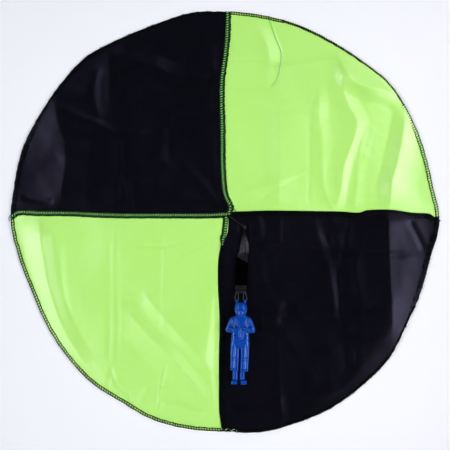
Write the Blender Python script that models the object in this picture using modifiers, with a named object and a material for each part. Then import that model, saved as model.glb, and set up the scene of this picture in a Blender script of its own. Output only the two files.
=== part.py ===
"""A toy paratrooper, lying flat as it is laid out after a throw.

The canopy is a disc of thin cloth cut in four quadrants. The inner side faces up, so the overlocked
seams show. A satin ribbon is tied to the crown, runs down over the front right quadrant inside a tape
wrap, and carries a moulded figure by two lugs on its helmet.

Metres. X runs to the right, Y away from the figure's feet and Z up. The origin lies on the floor, at
the middle of the disc.
"""

import math

import bmesh
import bpy
from mathutils import Matrix, Vector

# Fits
FIT_GAP = 0.0003
CUT_OVERRUN = 0.0010
WELD_DISTANCE = 0.00003

# Canopy
CANOPY_RADIUS = 0.240
CROWN_X = 0.0030
CROWN_Y = 0.0109
CLOTH_THICKNESS = 0.0006
PANEL_CELLS = 22
FOLD_HEIGHT = 0.0024
FOLD_HALF_WIDTH = 0.0150
FOLD_FADE = 0.0160
FOLD_MARGIN = 0.0050
CALM_HEIGHT_SHARE = 0.5

# Seams and hem
SEAM_WIDTH = 0.0055
SEAM_THICKNESS = 0.0007
SEAM_STEPS = 26
SEAM_SETBACK = 0.0010
HEM_WIDTH = 0.0028
HEM_THICKNESS = 0.0013
HEM_STEPS = 2 * PANEL_CELLS
THREAD_BEVEL = 0.0002
TACK_X = 0.0042
TACK_Y = 0.0075
TACK_RADIUS = 0.0040
TACK_HEIGHT = 0.0013

# Crown cord and knot
CORD_DIAMETER = 0.0009
CORD_RISE = 0.0028
CORD_STEPS = 12
KNOT_X = 0.0221
KNOT_Y = -0.0058
KNOT_RADIUS = 0.0023
KNOT_TURN_DEPTH = 0.0003

# Ribbon and tape wrap
RIBBON_WIDTH = 0.0126
RIBBON_THICKNESS = 0.0004
RIBBON_ARCH = 0.0016
PLEAT_DEPTH = 0.0007
PLEATS = 4
RIBBON_COLUMNS = 16
WRAP_WIDTH = 0.0135
WRAP_WALL = 0.0004
WRAP_TOP_LEFT_Y = -0.0385
WRAP_TOP_RIGHT_Y = -0.0459
WRAP_END_Y = -0.0706
WRAP_X_START = 0.0194
WRAP_X_END = 0.0182
WRAP_SIDES = 20
WRAP_ROWS = 6
WRAP_FLATNESS_SHARES = (0.7, 0.35)
TAIL_LENGTH = 0.0085
TAIL_END_WIDTH = 0.0112
TAIL_GATHER_SHARE = 0.2

# Figure
FIGURE_HEIGHT = 0.0953
FIGURE_X = 0.0174
FIGURE_TOP_Y = -0.0862
LIE_HEIGHT = 0.0021
LIMB_SIDES = 16
LUG_SPACING = 0.0092
LUG_MIDDLE_X = 0.0006
LUG_THICKNESS = 0.0022
LUG_RADIUS = 0.0020
LUG_BORE = 0.0016
LUG_FORWARD = 0.0052
LUG_ROOT = 0.0075
LUG_SIDES = 20
LOOP_GATHER_SHARE = 0.55

# Colours, as linear red, green and blue, with roughness
BLACK_CLOTH = ((0.008, 0.008, 0.012), 0.55)
GREEN_CLOTH = ((0.42, 0.92, 0.19), 0.60)
SEAM_THREAD = ((0.012, 0.030, 0.012), 0.75)
BLACK_CORD = ((0.020, 0.020, 0.022), 0.60)
BLACK_SATIN = ((0.035, 0.035, 0.042), 0.35)
BLACK_TAPE = ((0.004, 0.004, 0.005), 0.80)
BLUE_PLASTIC = ((0.010, 0.085, 0.480), 0.30)

# The rim, as shares of the canopy's radius, one every ten degrees from +X towards +Y
RIM_SHARES = (
    1.002, 0.987, 0.990, 1.000, 1.008, 0.991, 0.984, 0.985, 0.983,
    0.985, 0.991, 0.981, 0.989, 1.009, 1.004, 1.000, 1.006, 0.999,
    1.000, 0.975, 0.957, 0.961, 0.968, 0.975, 0.969, 0.982, 0.980,
    0.978, 0.996, 0.997, 1.001, 0.998, 0.998, 0.977, 0.972, 0.975,
)  # fmt: skip

# Each seam's heading in degrees, its sideways bends as pairs of reach and offset, in shares of the
# canopy's radius and positive to the left of the heading, and the side that its band lies on as pairs
# of reach and offset, in shares of the band's width
SEAM_SHARES = {
    "seam_right": (
        1.5,
        ((0, 0), (0.036, 0.005), (0.11, 0.0085), (0.20, 0.0132), (0.35, 0.0139), (0.53, 0.0146),
         (0.62, 0.0115), (0.66, 0.0235), (0.77, 0.0275), (0.88, 0.015), (0.955, 0.0123), (0.985, -0.0045),
         (1, 0)),
        ((0, -0.5), (1, -0.5)),
    ),
    "seam_back": (
        89.75,
        ((0, 0), (0.03, -0.006), (0.06, 0.009), (0.11, 0.0235), (0.26, 0.031), (0.41, 0.030),
         (0.56, 0.0325), (0.66, 0.029), (0.76, 0.016), (0.84, 0.007), (0.89, 0.0025), (1, 0)),
        ((0, -0.5), (1, -0.5)),
    ),
    "seam_left": (
        177.9,
        ((0, 0), (0.08, 0.0025), (0.32, 0.0005), (0.46, 0), (0.60, -0.005), (0.74, -0.0126),
         (0.88, -0.015), (0.95, -0.019), (0.975, -0.016), (1, 0)),
        ((0, 0.5), (1, 0.5)),
    ),
    "seam_front": (
        269.1,
        ((0, 0), (0.04, 0.005), (0.07, 0.004), (0.10, 0), (0.144, -0.0215), (0.19, -0.033),
         (0.25, -0.0375), (0.33, -0.036), (0.42, -0.029), (0.52, -0.0225), (0.64, -0.0225),
         (0.78, -0.018), (0.91, -0.0125), (1, 0)),
        ((0, -0.5), (0.115, -0.5), (0.175, 0.5), (1, 0.5)),
    ),
}  # fmt: skip

# Each quadrant's first and second seam going round, its cloth, and its height of fold as a share
PANEL_SHARES = {
    "panel_green_back_right": ("seam_right", "seam_back", "green", 1.0),
    "panel_black_back_left": ("seam_back", "seam_left", "black", 1.0),
    "panel_green_front_left": ("seam_left", "seam_front", "green", 1.0),
    "panel_black_front_right": ("seam_front", "seam_right", "black", CALM_HEIGHT_SHARE),
}

# The folds, as a share of the fold height and the places that each runs through, in shares of the
# canopy's radius from the middle of the disc
FOLD_SHARES = (
    (0.7, ((-0.25, 0.53), (-0.25, 0.10))),
    (1.0, ((-0.69, 0.50), (-0.59, 0.47), (-0.50, 0.42), (-0.37, 0.42))),
    (0.8, ((-0.50, 0.42), (-0.49, 0.26), (-0.51, 0.10))),
    (1.0, ((-0.79, 0.54), (-0.74, 0.39), (-0.75, 0.23), (-0.78, 0.09))),
    (0.8, ((-0.54, 0.79), (-0.62, 0.63), (-0.58, 0.51), (-0.50, 0.42))),
    (0.6, ((-0.50, 0.81), (-0.20, 0.68), (-0.05, 0.67))),
    (1.0, ((0.22, 0.94), (0.27, 0.81), (0.27, 0.72), (0.25, 0.64), (0.24, 0.57))),
    (0.7, ((0.25, 0.50), (0.25, 0.15))),
    (0.6, ((0.42, 0.59), (0.41, 0.53), (0.39, 0.12))),
    (1.0, ((0.54, 0.75), (0.54, 0.65), (0.60, 0.49), (0.62, 0.45), (0.57, 0.32), (0.55, 0.12))),
    (0.8, ((0.60, 0.62), (0.71, 0.60), (0.82, 0.56), (0.81, 0.39), (0.76, 0.28))),
    (0.9, ((0.82, 0.44), (0.93, 0.24), (0.93, 0.10))),
    (1.0, ((-0.91, -0.06), (-0.85, -0.21), (-0.77, -0.46))),
    (0.9, ((-0.53, -0.06), (-0.53, -0.76))),
    (0.7, ((-0.27, -0.06), (-0.27, -0.46))),
    (0.9, ((-0.38, -0.45), (-0.05, -0.85))),
    (0.8, ((-0.47, -0.74), (-0.37, -0.83), (-0.28, -0.88))),
    (1.0, ((0.26, -0.08), (0.26, -0.88))),
    (0.9, ((0.76, -0.06), (0.78, -0.27), (0.80, -0.50))),
    (1.0, ((0.51, -0.10), (0.54, -0.36), (0.59, -0.53), (0.61, -0.62), (0.59, -0.72), (0.49, -0.76))),
    (0.8, ((0.12, -0.14), (0.49, -0.13), (0.92, -0.16))),
    (0.8, ((0.03, -0.62), (0.12, -0.62))),
    (0.9, ((0.25, -0.45), (0.52, -0.47))),
    (0.8, ((0.03, -0.86), (0.26, -0.90))),
)

# The tack's dome, as shares of its radius and height
TACK_PROFILE_SHARES = ((0, 1), (0.45, 0.94), (0.8, 0.7), (1, 0.3), (1, 0), (0, 0))

# The crown cord's rise over the seam and sag beyond it, as a share of the way from the tack to the
# knot and a share of its greatest rise
CORD_RISE_SHARES = ((0, 0), (0.18, 0.10), (0.36, 0.0), (0.56, -0.35), (0.78, -0.30), (1, 0))

# The ribbon from the knot to the wrap, as a share of the way, a half width in shares of the ribbon's
# width, the sideways drift in the same shares, and how far it is arched and pleated
RIBBON_SHARES = (
    (0.00, 0.09, 0.000, 0.4),
    (0.08, 0.10, 0.000, 0.6),
    (0.18, 0.14, -0.010, 0.9),
    (0.32, 0.23, -0.014, 1.0),
    (0.48, 0.33, -0.008, 1.0),
    (0.66, 0.40, -0.013, 0.8),
    (0.84, 0.45, -0.040, 0.5),
    (1.00, 0.48, -0.200, 0.0),
)

# The figure's forms, as stations of across, down from the lugs, forward from its back, half width
# and half depth, in shares of its height
TORSO_SHARES = (
    (0.003, 0.178, 0.066, 0.045, 0.039),
    (0.003, 0.203, 0.066, 0.086, 0.048),
    (0.003, 0.231, 0.065, 0.109, 0.056),
    (0.002, 0.294, 0.065, 0.107, 0.060),
    (0.000, 0.357, 0.064, 0.101, 0.059),
    (0.000, 0.409, 0.064, 0.102, 0.059),
    (-0.001, 0.462, 0.064, 0.106, 0.062),
    (-0.001, 0.476, 0.064, 0.107, 0.063),
)
HIPS_SHARES = (
    (-0.001, 0.450, 0.062, 0.098, 0.056),
    (-0.003, 0.490, 0.061, 0.107, 0.058),
    (-0.004, 0.530, 0.060, 0.113, 0.057),
    (-0.006, 0.555, 0.059, 0.108, 0.053),
    (-0.007, 0.570, 0.058, 0.086, 0.046),
)
LEFT_LEG_SHARES = (
    (-0.062, 0.545, 0.058, 0.050, 0.048),
    (-0.066, 0.600, 0.058, 0.051, 0.049),
    (-0.067, 0.700, 0.057, 0.050, 0.046),
    (-0.070, 0.790, 0.056, 0.048, 0.045),
    (-0.071, 0.828, 0.056, 0.049, 0.047),
)
RIGHT_LEG_SHARES = (
    (0.049, 0.545, 0.058, 0.050, 0.048),
    (0.052, 0.600, 0.058, 0.051, 0.049),
    (0.050, 0.700, 0.057, 0.049, 0.046),
    (0.045, 0.800, 0.056, 0.047, 0.045),
    (0.044, 0.844, 0.056, 0.049, 0.047),
)
LEFT_BOOT_SHARES = (
    (-0.062, 0.815, 0.052, 0.034, 0.040),
    (-0.060, 0.870, 0.050, 0.033, 0.037),
    (-0.059, 0.920, 0.050, 0.034, 0.040),
    (-0.060, 0.955, 0.048, 0.036, 0.043),
    (-0.060, 0.966, 0.048, 0.034, 0.041),
)
RIGHT_BOOT_SHARES = (
    (0.024, 0.830, 0.052, 0.032, 0.040),
    (0.022, 0.870, 0.050, 0.031, 0.037),
    (0.022, 0.920, 0.050, 0.032, 0.040),
    (0.023, 0.955, 0.048, 0.034, 0.043),
    (0.023, 0.966, 0.048, 0.032, 0.041),
)
LEFT_FOOT_SHARES = (
    (-0.060, 0.970, 0.006, 0.024, 0.024),
    (-0.060, 0.968, 0.016, 0.033, 0.031),
    (-0.064, 0.966, 0.060, 0.035, 0.033),
    (-0.072, 0.966, 0.105, 0.036, 0.027),
    (-0.079, 0.965, 0.138, 0.033, 0.022),
    (-0.082, 0.965, 0.150, 0.022, 0.014),
)
RIGHT_FOOT_SHARES = (
    (0.023, 0.970, 0.006, 0.024, 0.024),
    (0.023, 0.968, 0.016, 0.031, 0.031),
    (0.027, 0.966, 0.060, 0.034, 0.033),
    (0.034, 0.966, 0.105, 0.036, 0.027),
    (0.040, 0.965, 0.138, 0.033, 0.022),
    (0.042, 0.965, 0.150, 0.022, 0.014),
)
LEFT_SLEEVE_SHARES = (
    (-0.082, 0.213, 0.064, 0.020, 0.026),
    (-0.092, 0.236, 0.063, 0.033, 0.038),
    (-0.112, 0.286, 0.060, 0.036, 0.041),
    (-0.134, 0.340, 0.057, 0.035, 0.039),
    (-0.146, 0.371, 0.057, 0.029, 0.033),
    (-0.149, 0.386, 0.057, 0.014, 0.018),
)
LEFT_FOREARM_SHARES = (
    (-0.148, 0.364, 0.052, 0.018, 0.020),
    (-0.134, 0.361, 0.063, 0.030, 0.030),
    (-0.104, 0.358, 0.088, 0.031, 0.030),
    (-0.072, 0.352, 0.112, 0.027, 0.026),
    (-0.060, 0.351, 0.120, 0.022, 0.021),
    (-0.045, 0.345, 0.127, 0.027, 0.024),
    (-0.024, 0.338, 0.129, 0.022, 0.019),
    (-0.014, 0.335, 0.128, 0.010, 0.010),
)
RIGHT_SLEEVE_SHARES = (
    (0.086, 0.213, 0.064, 0.020, 0.026),
    (0.098, 0.240, 0.063, 0.033, 0.038),
    (0.118, 0.292, 0.060, 0.036, 0.041),
    (0.138, 0.347, 0.057, 0.035, 0.039),
    (0.148, 0.381, 0.057, 0.029, 0.033),
    (0.151, 0.396, 0.057, 0.014, 0.018),
)
RIGHT_FOREARM_SHARES = (
    (0.150, 0.374, 0.052, 0.018, 0.020),
    (0.136, 0.369, 0.063, 0.030, 0.030),
    (0.106, 0.361, 0.088, 0.031, 0.030),
    (0.076, 0.350, 0.112, 0.027, 0.026),
    (0.064, 0.346, 0.120, 0.022, 0.021),
    (0.048, 0.336, 0.127, 0.027, 0.024),
    (0.028, 0.326, 0.129, 0.022, 0.019),
    (0.018, 0.322, 0.128, 0.010, 0.010),
)
NECK_SHARES = ((0.005, 0.170, 0.066, 0.036, 0.036), (0.004, 0.215, 0.065, 0.042, 0.038))
FACE_SHARES = (
    (0.006, 0.100, 0.074, 0.050, 0.054),
    (0.006, 0.130, 0.075, 0.056, 0.059),
    (0.006, 0.160, 0.076, 0.053, 0.057),
    (0.006, 0.187, 0.078, 0.043, 0.051),
    (0.006, 0.206, 0.081, 0.029, 0.040),
    (0.006, 0.213, 0.083, 0.015, 0.024),
)
NOSE_SHARES = (
    (0.006, 0.134, 0.129, 0.005, 0.006),
    (0.006, 0.150, 0.134, 0.008, 0.007),
    (0.006, 0.162, 0.137, 0.012, 0.009),
    (0.006, 0.169, 0.131, 0.008, 0.005),
)
HELMET_SHARES = (
    (0.006, 0.034, 0.071, 0.018, 0.017),
    (0.006, 0.042, 0.071, 0.042, 0.039),
    (0.006, 0.062, 0.071, 0.063, 0.059),
    (0.006, 0.090, 0.071, 0.073, 0.068),
    (0.006, 0.118, 0.071, 0.0755, 0.070),
    (0.006, 0.126, 0.071, 0.073, 0.068),
    (0.006, 0.128, 0.071, 0.060, 0.058),
)
EAR_FLAP_SHARES = (
    (0.065, 0.110, 0.066, 0.010, 0.026),
    (0.064, 0.140, 0.068, 0.011, 0.026),
    (0.058, 0.168, 0.074, 0.009, 0.020),
    (0.053, 0.180, 0.080, 0.005, 0.010),
)
LEFT_STRAP_SHARES = (
    (-0.050, 0.196, 0.096, 0.009, 0.007),
    (-0.046, 0.220, 0.116, 0.009, 0.007),
    (-0.030, 0.285, 0.125, 0.009, 0.007),
    (-0.014, 0.345, 0.124, 0.009, 0.007),
    (-0.013, 0.415, 0.124, 0.009, 0.007),
    (-0.013, 0.440, 0.121, 0.009, 0.005),
)
RIGHT_STRAP_SHARES = (
    (0.066, 0.200, 0.092, 0.009, 0.007),
    (0.060, 0.230, 0.115, 0.009, 0.007),
    (0.046, 0.290, 0.124, 0.009, 0.007),
    (0.030, 0.345, 0.125, 0.009, 0.007),
    (0.029, 0.415, 0.124, 0.009, 0.007),
    (0.029, 0.440, 0.121, 0.009, 0.005),
)
BELT_SHARES = (
    (-0.001, 0.446, 0.064, 0.105, 0.061),
    (-0.001, 0.450, 0.064, 0.108, 0.064),
    (-0.001, 0.462, 0.064, 0.109, 0.064),
    (-0.001, 0.466, 0.064, 0.105, 0.061),
)

CROWN = Vector((CROWN_X, CROWN_Y))
TACK = Vector((TACK_X, TACK_Y))
RIM_STEP = math.tau / len(RIM_SHARES)
CLOTH_TOP = CLOTH_THICKNESS
BAND_LOW = CLOTH_TOP + FIT_GAP
BAND_HIGH = BAND_LOW + SEAM_THICKNESS
CORD_RADIUS = CORD_DIAMETER / 2
KNOT = Vector((KNOT_X, KNOT_Y, CLOTH_TOP + FIT_GAP + KNOT_RADIUS + KNOT_TURN_DEPTH))
WRAP_CLEARANCE = FIT_GAP + WRAP_WALL
WRAP_HEIGHT = RIBBON_THICKNESS + 2 * WRAP_CLEARANCE
WRAP_MIDDLE_Z = LIE_HEIGHT + WRAP_HEIGHT / 2
RIBBON_IN_WRAP = (WRAP_WIDTH - 2 * WRAP_CLEARANCE) / 2
LUG_AXIS = Vector((FIGURE_X, FIGURE_TOP_Y - LUG_RADIUS, LIE_HEIGHT + LUG_FORWARD))
TAIL_END_Y = WRAP_END_Y - TAIL_LENGTH


def clear_scene():
    """Remove every object of the scene."""
    for obj in list(bpy.data.objects):
        bpy.data.objects.remove(obj, do_unlink=True)


def new_collection(name):
    """A collection under the scene's own."""
    collection = bpy.data.collections.new(name)
    bpy.context.scene.collection.children.link(collection)
    return collection


def new_material(name, finish, metallic=0.0):
    """A Principled material from a colour and a roughness."""
    colour, roughness = finish
    material = bpy.data.materials.new(name)
    material.use_nodes = True
    shader = material.node_tree.nodes["Principled BSDF"]
    shader.inputs["Base Color"].default_value = (*colour, 1.0)
    shader.inputs["Roughness"].default_value = roughness
    shader.inputs["Metallic"].default_value = metallic
    return material


def add_object(name, data, material, collection):
    """An object of this mesh or curve, in its collection and with its material."""
    obj = bpy.data.objects.new(name, data)
    data.materials.append(material)
    collection.objects.link(obj)
    return obj


def mesh_from(name, bm):
    """A mesh of this bmesh with its faces pointing out, shaded smooth between its sharp edges."""
    bmesh.ops.recalc_face_normals(bm, faces=bm.faces[:])
    mesh = bpy.data.meshes.new(name)
    bm.to_mesh(mesh)
    bm.free()
    mesh.shade_smooth()
    return mesh


def add_bevel(obj, width):
    """Rounds the sharp edges of an object by one step."""
    bevel = obj.modifiers.new("Edge", "BEVEL")
    bevel.width = width
    bevel.segments = 1
    bevel.limit_method = "ANGLE"


def add_wall(obj, thickness, offset):
    """Gives an open surface its thickness."""
    wall = obj.modifiers.new("Wall", "SOLIDIFY")
    wall.thickness = thickness
    wall.offset = offset
    wall.use_even_offset = True


def through(rows, at):
    """The value at a place of a smooth curve through rows of place and value."""
    for index in range(len(rows) - 1):
        if at <= rows[index + 1][0] or index == len(rows) - 2:
            break
    (x0, y0), (x1, y1) = rows[index], rows[index + 1]

    def slope(middle):
        if middle in (0, len(rows) - 1):
            return 0.0
        before, after = rows[middle - 1], rows[middle + 1]
        return (after[1] - before[1]) / (after[0] - before[0])

    step = x1 - x0
    t = min(max((at - x0) / step, 0.0), 1.0)
    start, end = slope(index) * step, slope(index + 1) * step
    return (
        y0 * (1 + 2 * t) * (1 - t) ** 2
        + start * t * (1 - t) ** 2
        + y1 * t * t * (3 - 2 * t)
        + end * t * t * (t - 1)
    )


def smooth_step(value):
    """Zero below zero, one above one, and an even swing between."""
    value = min(max(value, 0.0), 1.0)
    return value * value * (3 - 2 * value)


def rim_point(angle, inset):
    """The place on the rim at this angle round the middle of the disc, drawn in by an inset."""
    place = angle % math.tau / RIM_STEP
    index = int(place)
    shares = [RIM_SHARES[(index + step) % len(RIM_SHARES)] for step in (-1, 0, 1, 2)]
    share = through(tuple(zip((-1, 0, 1, 2), shares)), place - index)
    reach = CANOPY_RADIUS * share - inset
    return Vector((reach * math.cos(angle), reach * math.sin(angle)))


def seam_frame(seam, inset):
    """A seam's end on the rim, its heading, and the direction to the left of it."""
    end = rim_point(math.radians(SEAM_SHARES[seam][0]), inset)
    heading = (end - CROWN).normalized()
    return end, heading, Vector((-heading.y, heading.x))


def seam_point(seam, reach, sideways=0.0):
    """The place on a seam at a share of the way from the crown to the rim."""
    end, _, left = seam_frame(seam, HEM_WIDTH + FIT_GAP)
    bend = CANOPY_RADIUS * through(SEAM_SHARES[seam][1], reach)
    return CROWN + (end - CROWN) * reach + left * (bend + sideways)


def panel_point(first, second, reach, turn):
    """The place in a quadrant at a share of the way out and a share of the way round."""
    start = math.radians(SEAM_SHARES[first][0])
    sweep = (math.radians(SEAM_SHARES[second][0]) - start) % math.tau
    ray = rim_point(start + sweep * turn, HEM_WIDTH + FIT_GAP) - CROWN
    place = CROWN + ray * reach
    for seam, near, inside in ((first, 1 - turn, 1), (second, turn, -1)):
        left = seam_frame(seam, HEM_WIDTH + FIT_GAP)[2]
        bend = CANOPY_RADIUS * through(SEAM_SHARES[seam][1], reach)
        weight = near**2 if reach else 1
        place = place + left * (bend + inside * FIT_GAP / 2) * weight
    return place


def distance_to_run(place, run):
    """The distance from a place to the nearest point of a run of straight stretches."""
    nearest = math.inf
    for start, end in zip(run, run[1:]):
        along = end - start
        share = min(max((place - start).dot(along) / along.length_squared, 0.0), 1.0)
        nearest = min(nearest, (place - start - along * share).length)
    return nearest


def fold_height(place):
    """How far the folds lift the cloth at this place. Between the folds it is exactly zero."""
    height = 0.0
    for strength, shares in FOLD_SHARES:
        run = [Vector(share) * CANOPY_RADIUS for share in shares]
        away = distance_to_run(place, run) / FOLD_HALF_WIDTH
        if away < 1:
            height = max(height, strength * FOLD_HEIGHT * (1 - away * away) ** 2)
    return height


def build_panel(name, material, collection):
    """A quadrant of cloth: a grid from the crown to the rim, lifted by the folds, with a wall."""
    first, second, _, calm = PANEL_SHARES[name]
    sweep = (math.radians(SEAM_SHARES[second][0] - SEAM_SHARES[first][0])) % math.tau
    bm = bmesh.new()
    grid = []
    for column in range(PANEL_CELLS + 1):
        for row in range(PANEL_CELLS + 1):
            reach = max(column, row) / PANEL_CELLS
            if column >= row:
                turn = 0.5 * row / max(column, 1)
            else:
                turn = 1 - 0.5 * column / row
            place = panel_point(first, second, reach, turn)
            side = reach * CANOPY_RADIUS * sweep * min(turn, 1 - turn)
            edge = min(side, (1 - reach) * CANOPY_RADIUS) - FOLD_MARGIN
            lift = calm * fold_height(place) * smooth_step(edge / FOLD_FADE)
            grid.append(bm.verts.new((place.x, place.y, lift)))
    for column in range(PANEL_CELLS):
        for row in range(PANEL_CELLS):
            corner = column * (PANEL_CELLS + 1) + row
            across = corner + PANEL_CELLS + 1
            bm.faces.new([grid[i] for i in (corner, across, across + 1, corner + 1)])
    for face in bm.faces:
        face.normal_update()
        if face.normal.z < 0:
            face.normal_flip()
    bmesh.ops.triangulate(bm, faces=bm.faces[:])
    mesh = bpy.data.meshes.new(name)
    bm.to_mesh(mesh)
    bm.free()
    mesh.shade_smooth()
    obj = add_object(name, mesh, material, collection)
    add_wall(obj, CLOTH_THICKNESS, 1.0)
    return obj


def flat_outline(name, outline, low, high, material, collection):
    """A flat piece from a closed outline: a filled curve made solid between two heights."""
    curve = bpy.data.curves.new(name, "CURVE")
    curve.dimensions = "2D"
    curve.fill_mode = "BOTH"
    curve.extrude = (high - low) / 2
    spline = curve.splines.new("POLY")
    spline.points.add(len(outline) - 1)
    for point, place in zip(spline.points, outline):
        point.co = (place.x, place.y, 0.0, 1.0)
    spline.use_cyclic_u = True
    drawn = bpy.data.objects.new(name + "_outline", curve)
    drawn.location.z = (low + high) / 2
    collection.objects.link(drawn)
    bpy.context.view_layer.update()
    mesh = bpy.data.meshes.new_from_object(drawn.evaluated_get(bpy.context.evaluated_depsgraph_get()))
    mesh.transform(drawn.matrix_world)
    bpy.data.objects.remove(drawn, do_unlink=True)
    bm = bmesh.new()
    bm.from_mesh(mesh)
    bpy.data.meshes.remove(mesh)
    bmesh.ops.remove_doubles(bm, verts=bm.verts[:], dist=WELD_DISTANCE)
    obj = add_object(name, mesh_from(name, bm), material, collection)
    add_bevel(obj, THREAD_BEVEL)
    return obj


def build_seam(name, material, collection):
    """The overlocked allowance of one seam: a band of thread beside the seam line."""
    end, heading, _ = seam_frame(name, HEM_WIDTH + FIT_GAP)
    length = (end - CROWN).length
    first = ((TACK - CROWN).dot(heading) + TACK_RADIUS + FIT_GAP) / length
    last = 1 - SEAM_SETBACK / length
    left, right = [], []
    for step in range(SEAM_STEPS + 1):
        reach = first + (last - first) * step / SEAM_STEPS
        middle = SEAM_WIDTH * through(SEAM_SHARES[name][2], reach)
        left.append(seam_point(name, reach, middle + SEAM_WIDTH / 2))
        right.append(seam_point(name, reach, middle - SEAM_WIDTH / 2))
    return flat_outline(name, left + right[::-1], BAND_LOW, BAND_HIGH, material, collection)


def build_hem(name, first, second, material, collection):
    """The overlocked edge of one quadrant, from one seam to the next."""
    start = math.radians(SEAM_SHARES[first][0])
    sweep = (math.radians(SEAM_SHARES[second][0]) - start) % math.tau
    gap = FIT_GAP / CANOPY_RADIUS
    outer, inner = [], []
    for step in range(HEM_STEPS + 1):
        angle = start + min(max(sweep * step / HEM_STEPS, gap / 2), sweep - gap / 2)
        outer.append(rim_point(angle, 0.0))
        inner.append(rim_point(angle, HEM_WIDTH))
    return flat_outline(name, outer + inner[::-1], 0.0, HEM_THICKNESS, material, collection)


def build_tack(material, collection):
    """The pad of thread over the crossing of the seams: a turned dome."""
    bm = bmesh.new()
    points = [bm.verts.new((TACK_RADIUS * x, 0, TACK_HEIGHT * z)) for x, z in TACK_PROFILE_SHARES]
    for start, end in zip(points, points[1:]):
        bm.edges.new((start, end))
    mesh = bpy.data.meshes.new("crown_tack")
    bm.to_mesh(mesh)
    bm.free()
    obj = add_object("crown_tack", mesh, material, collection)
    obj.location = (TACK_X, TACK_Y, BAND_LOW)
    screw = obj.modifiers.new("Turn", "SCREW")
    screw.steps = screw.render_steps = 24
    screw.use_merge_vertices = True
    screw.merge_threshold = WELD_DISTANCE
    return obj


def tube(name, places, diameter, material, collection):
    """A round cord through these places, with closed ends."""
    curve = bpy.data.curves.new(name, "CURVE")
    curve.dimensions = "3D"
    curve.bevel_depth = diameter / 2
    curve.bevel_resolution = 2
    curve.use_fill_caps = True
    spline = curve.splines.new("POLY")
    spline.points.add(len(places) - 1)
    for point, place in zip(spline.points, places):
        point.co = (*place, 1.0)
    return add_object(name, curve, material, collection)


def build_crown_cord(material, collection):
    """The short cord from the top of the tack down to the knot."""
    toward = (KNOT.xy - TACK).normalized()
    start = TACK.to_3d() + Vector((0, 0, BAND_LOW + TACK_HEIGHT + FIT_GAP + CORD_RADIUS))
    reach = KNOT_RADIUS + KNOT_TURN_DEPTH + FIT_GAP
    end = KNOT - (toward * reach).to_3d()
    places = []
    for step in range(CORD_STEPS + 1):
        way = step / CORD_STEPS
        places.append(start.lerp(end, way) + Vector((0, 0, CORD_RISE * through(CORD_RISE_SHARES, way))))
    return tube("crown_cord", places, CORD_DIAMETER, material, collection)


def build_knot(material, collection):
    """The ribbon's knot: a ball with the turns of the ribbon as shallow ridges."""
    bm = bmesh.new()
    bmesh.ops.create_uvsphere(bm, u_segments=16, v_segments=10, radius=KNOT_RADIUS)
    for vert in bm.verts:
        round_turn = math.atan2(vert.co.y, vert.co.x)
        ridge = math.cos(3 * round_turn + vert.co.z / KNOT_RADIUS * math.pi)
        level = 1 - (vert.co.z / KNOT_RADIUS) ** 2
        vert.co += vert.co.normalized() * KNOT_TURN_DEPTH * ridge * level
    return add_object("ribbon_knot", mesh_from("ribbon_knot", bm), material, collection)


def ribbon_rows():
    """The ribbon's stations: middle, half width, and how far it is arched and pleated."""
    neck_y = KNOT.y - KNOT_RADIUS - KNOT_TURN_DEPTH - FIT_GAP
    rows = []
    for way, half, drift, gather in RIBBON_SHARES:
        y = neck_y + (WRAP_TOP_LEFT_Y - neck_y) * way
        z = KNOT.z + (WRAP_MIDDLE_Z - KNOT.z) * smooth_step(way)
        rows.append((Vector((KNOT.x + drift * RIBBON_WIDTH, y, z)), half * RIBBON_WIDTH, gather))
    rows[-1] = (Vector((WRAP_X_START, rows[-1][0].y, rows[-1][0].z)), RIBBON_IN_WRAP, 0.0)
    end = Vector((WRAP_X_END, WRAP_END_Y, WRAP_MIDDLE_Z))
    rows.append((end, RIBBON_IN_WRAP, 0.0))
    tail = Vector((FIGURE_X + LUG_MIDDLE_X, TAIL_END_Y, LUG_AXIS.z))
    rows.append((end.lerp(tail, 0.5), RIBBON_IN_WRAP, TAIL_GATHER_SHARE))
    rows.append((tail, TAIL_END_WIDTH / 2, TAIL_GATHER_SHARE))
    return rows


def build_ribbon(material, collection):
    """The satin ribbon: pinched at the knot, flat in the wrap and drawn in again at the lugs."""
    bm = bmesh.new()
    rows = []
    for middle, half, gather in ribbon_rows():
        row = []
        for column in range(RIBBON_COLUMNS + 1):
            across = 2 * column / RIBBON_COLUMNS - 1
            arch = RIBBON_ARCH * gather * (1 - across * across)
            pleat = PLEAT_DEPTH * gather * math.cos(PLEATS * math.pi * across) / 2
            row.append(bm.verts.new(middle + Vector((across * half, 0, arch + pleat))))
        rows.append(row)
    for upper, lower in zip(rows, rows[1:]):
        for column in range(RIBBON_COLUMNS):
            corners = (lower[column], lower[column + 1], upper[column + 1], upper[column])
            bm.faces.new(corners)
    mesh = bpy.data.meshes.new("ribbon")
    bm.to_mesh(mesh)
    bm.free()
    mesh.shade_smooth()
    obj = add_object("ribbon", mesh, material, collection)
    add_wall(obj, RIBBON_THICKNESS, 0.0)
    return obj


def flattened(angle, across, along):
    """A place on a unit ring whose sides are flattened: a power of one leaves it round."""
    x, y = math.cos(angle), math.sin(angle)
    return math.copysign(abs(x) ** across, x), math.copysign(abs(y) ** along, y)


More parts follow.
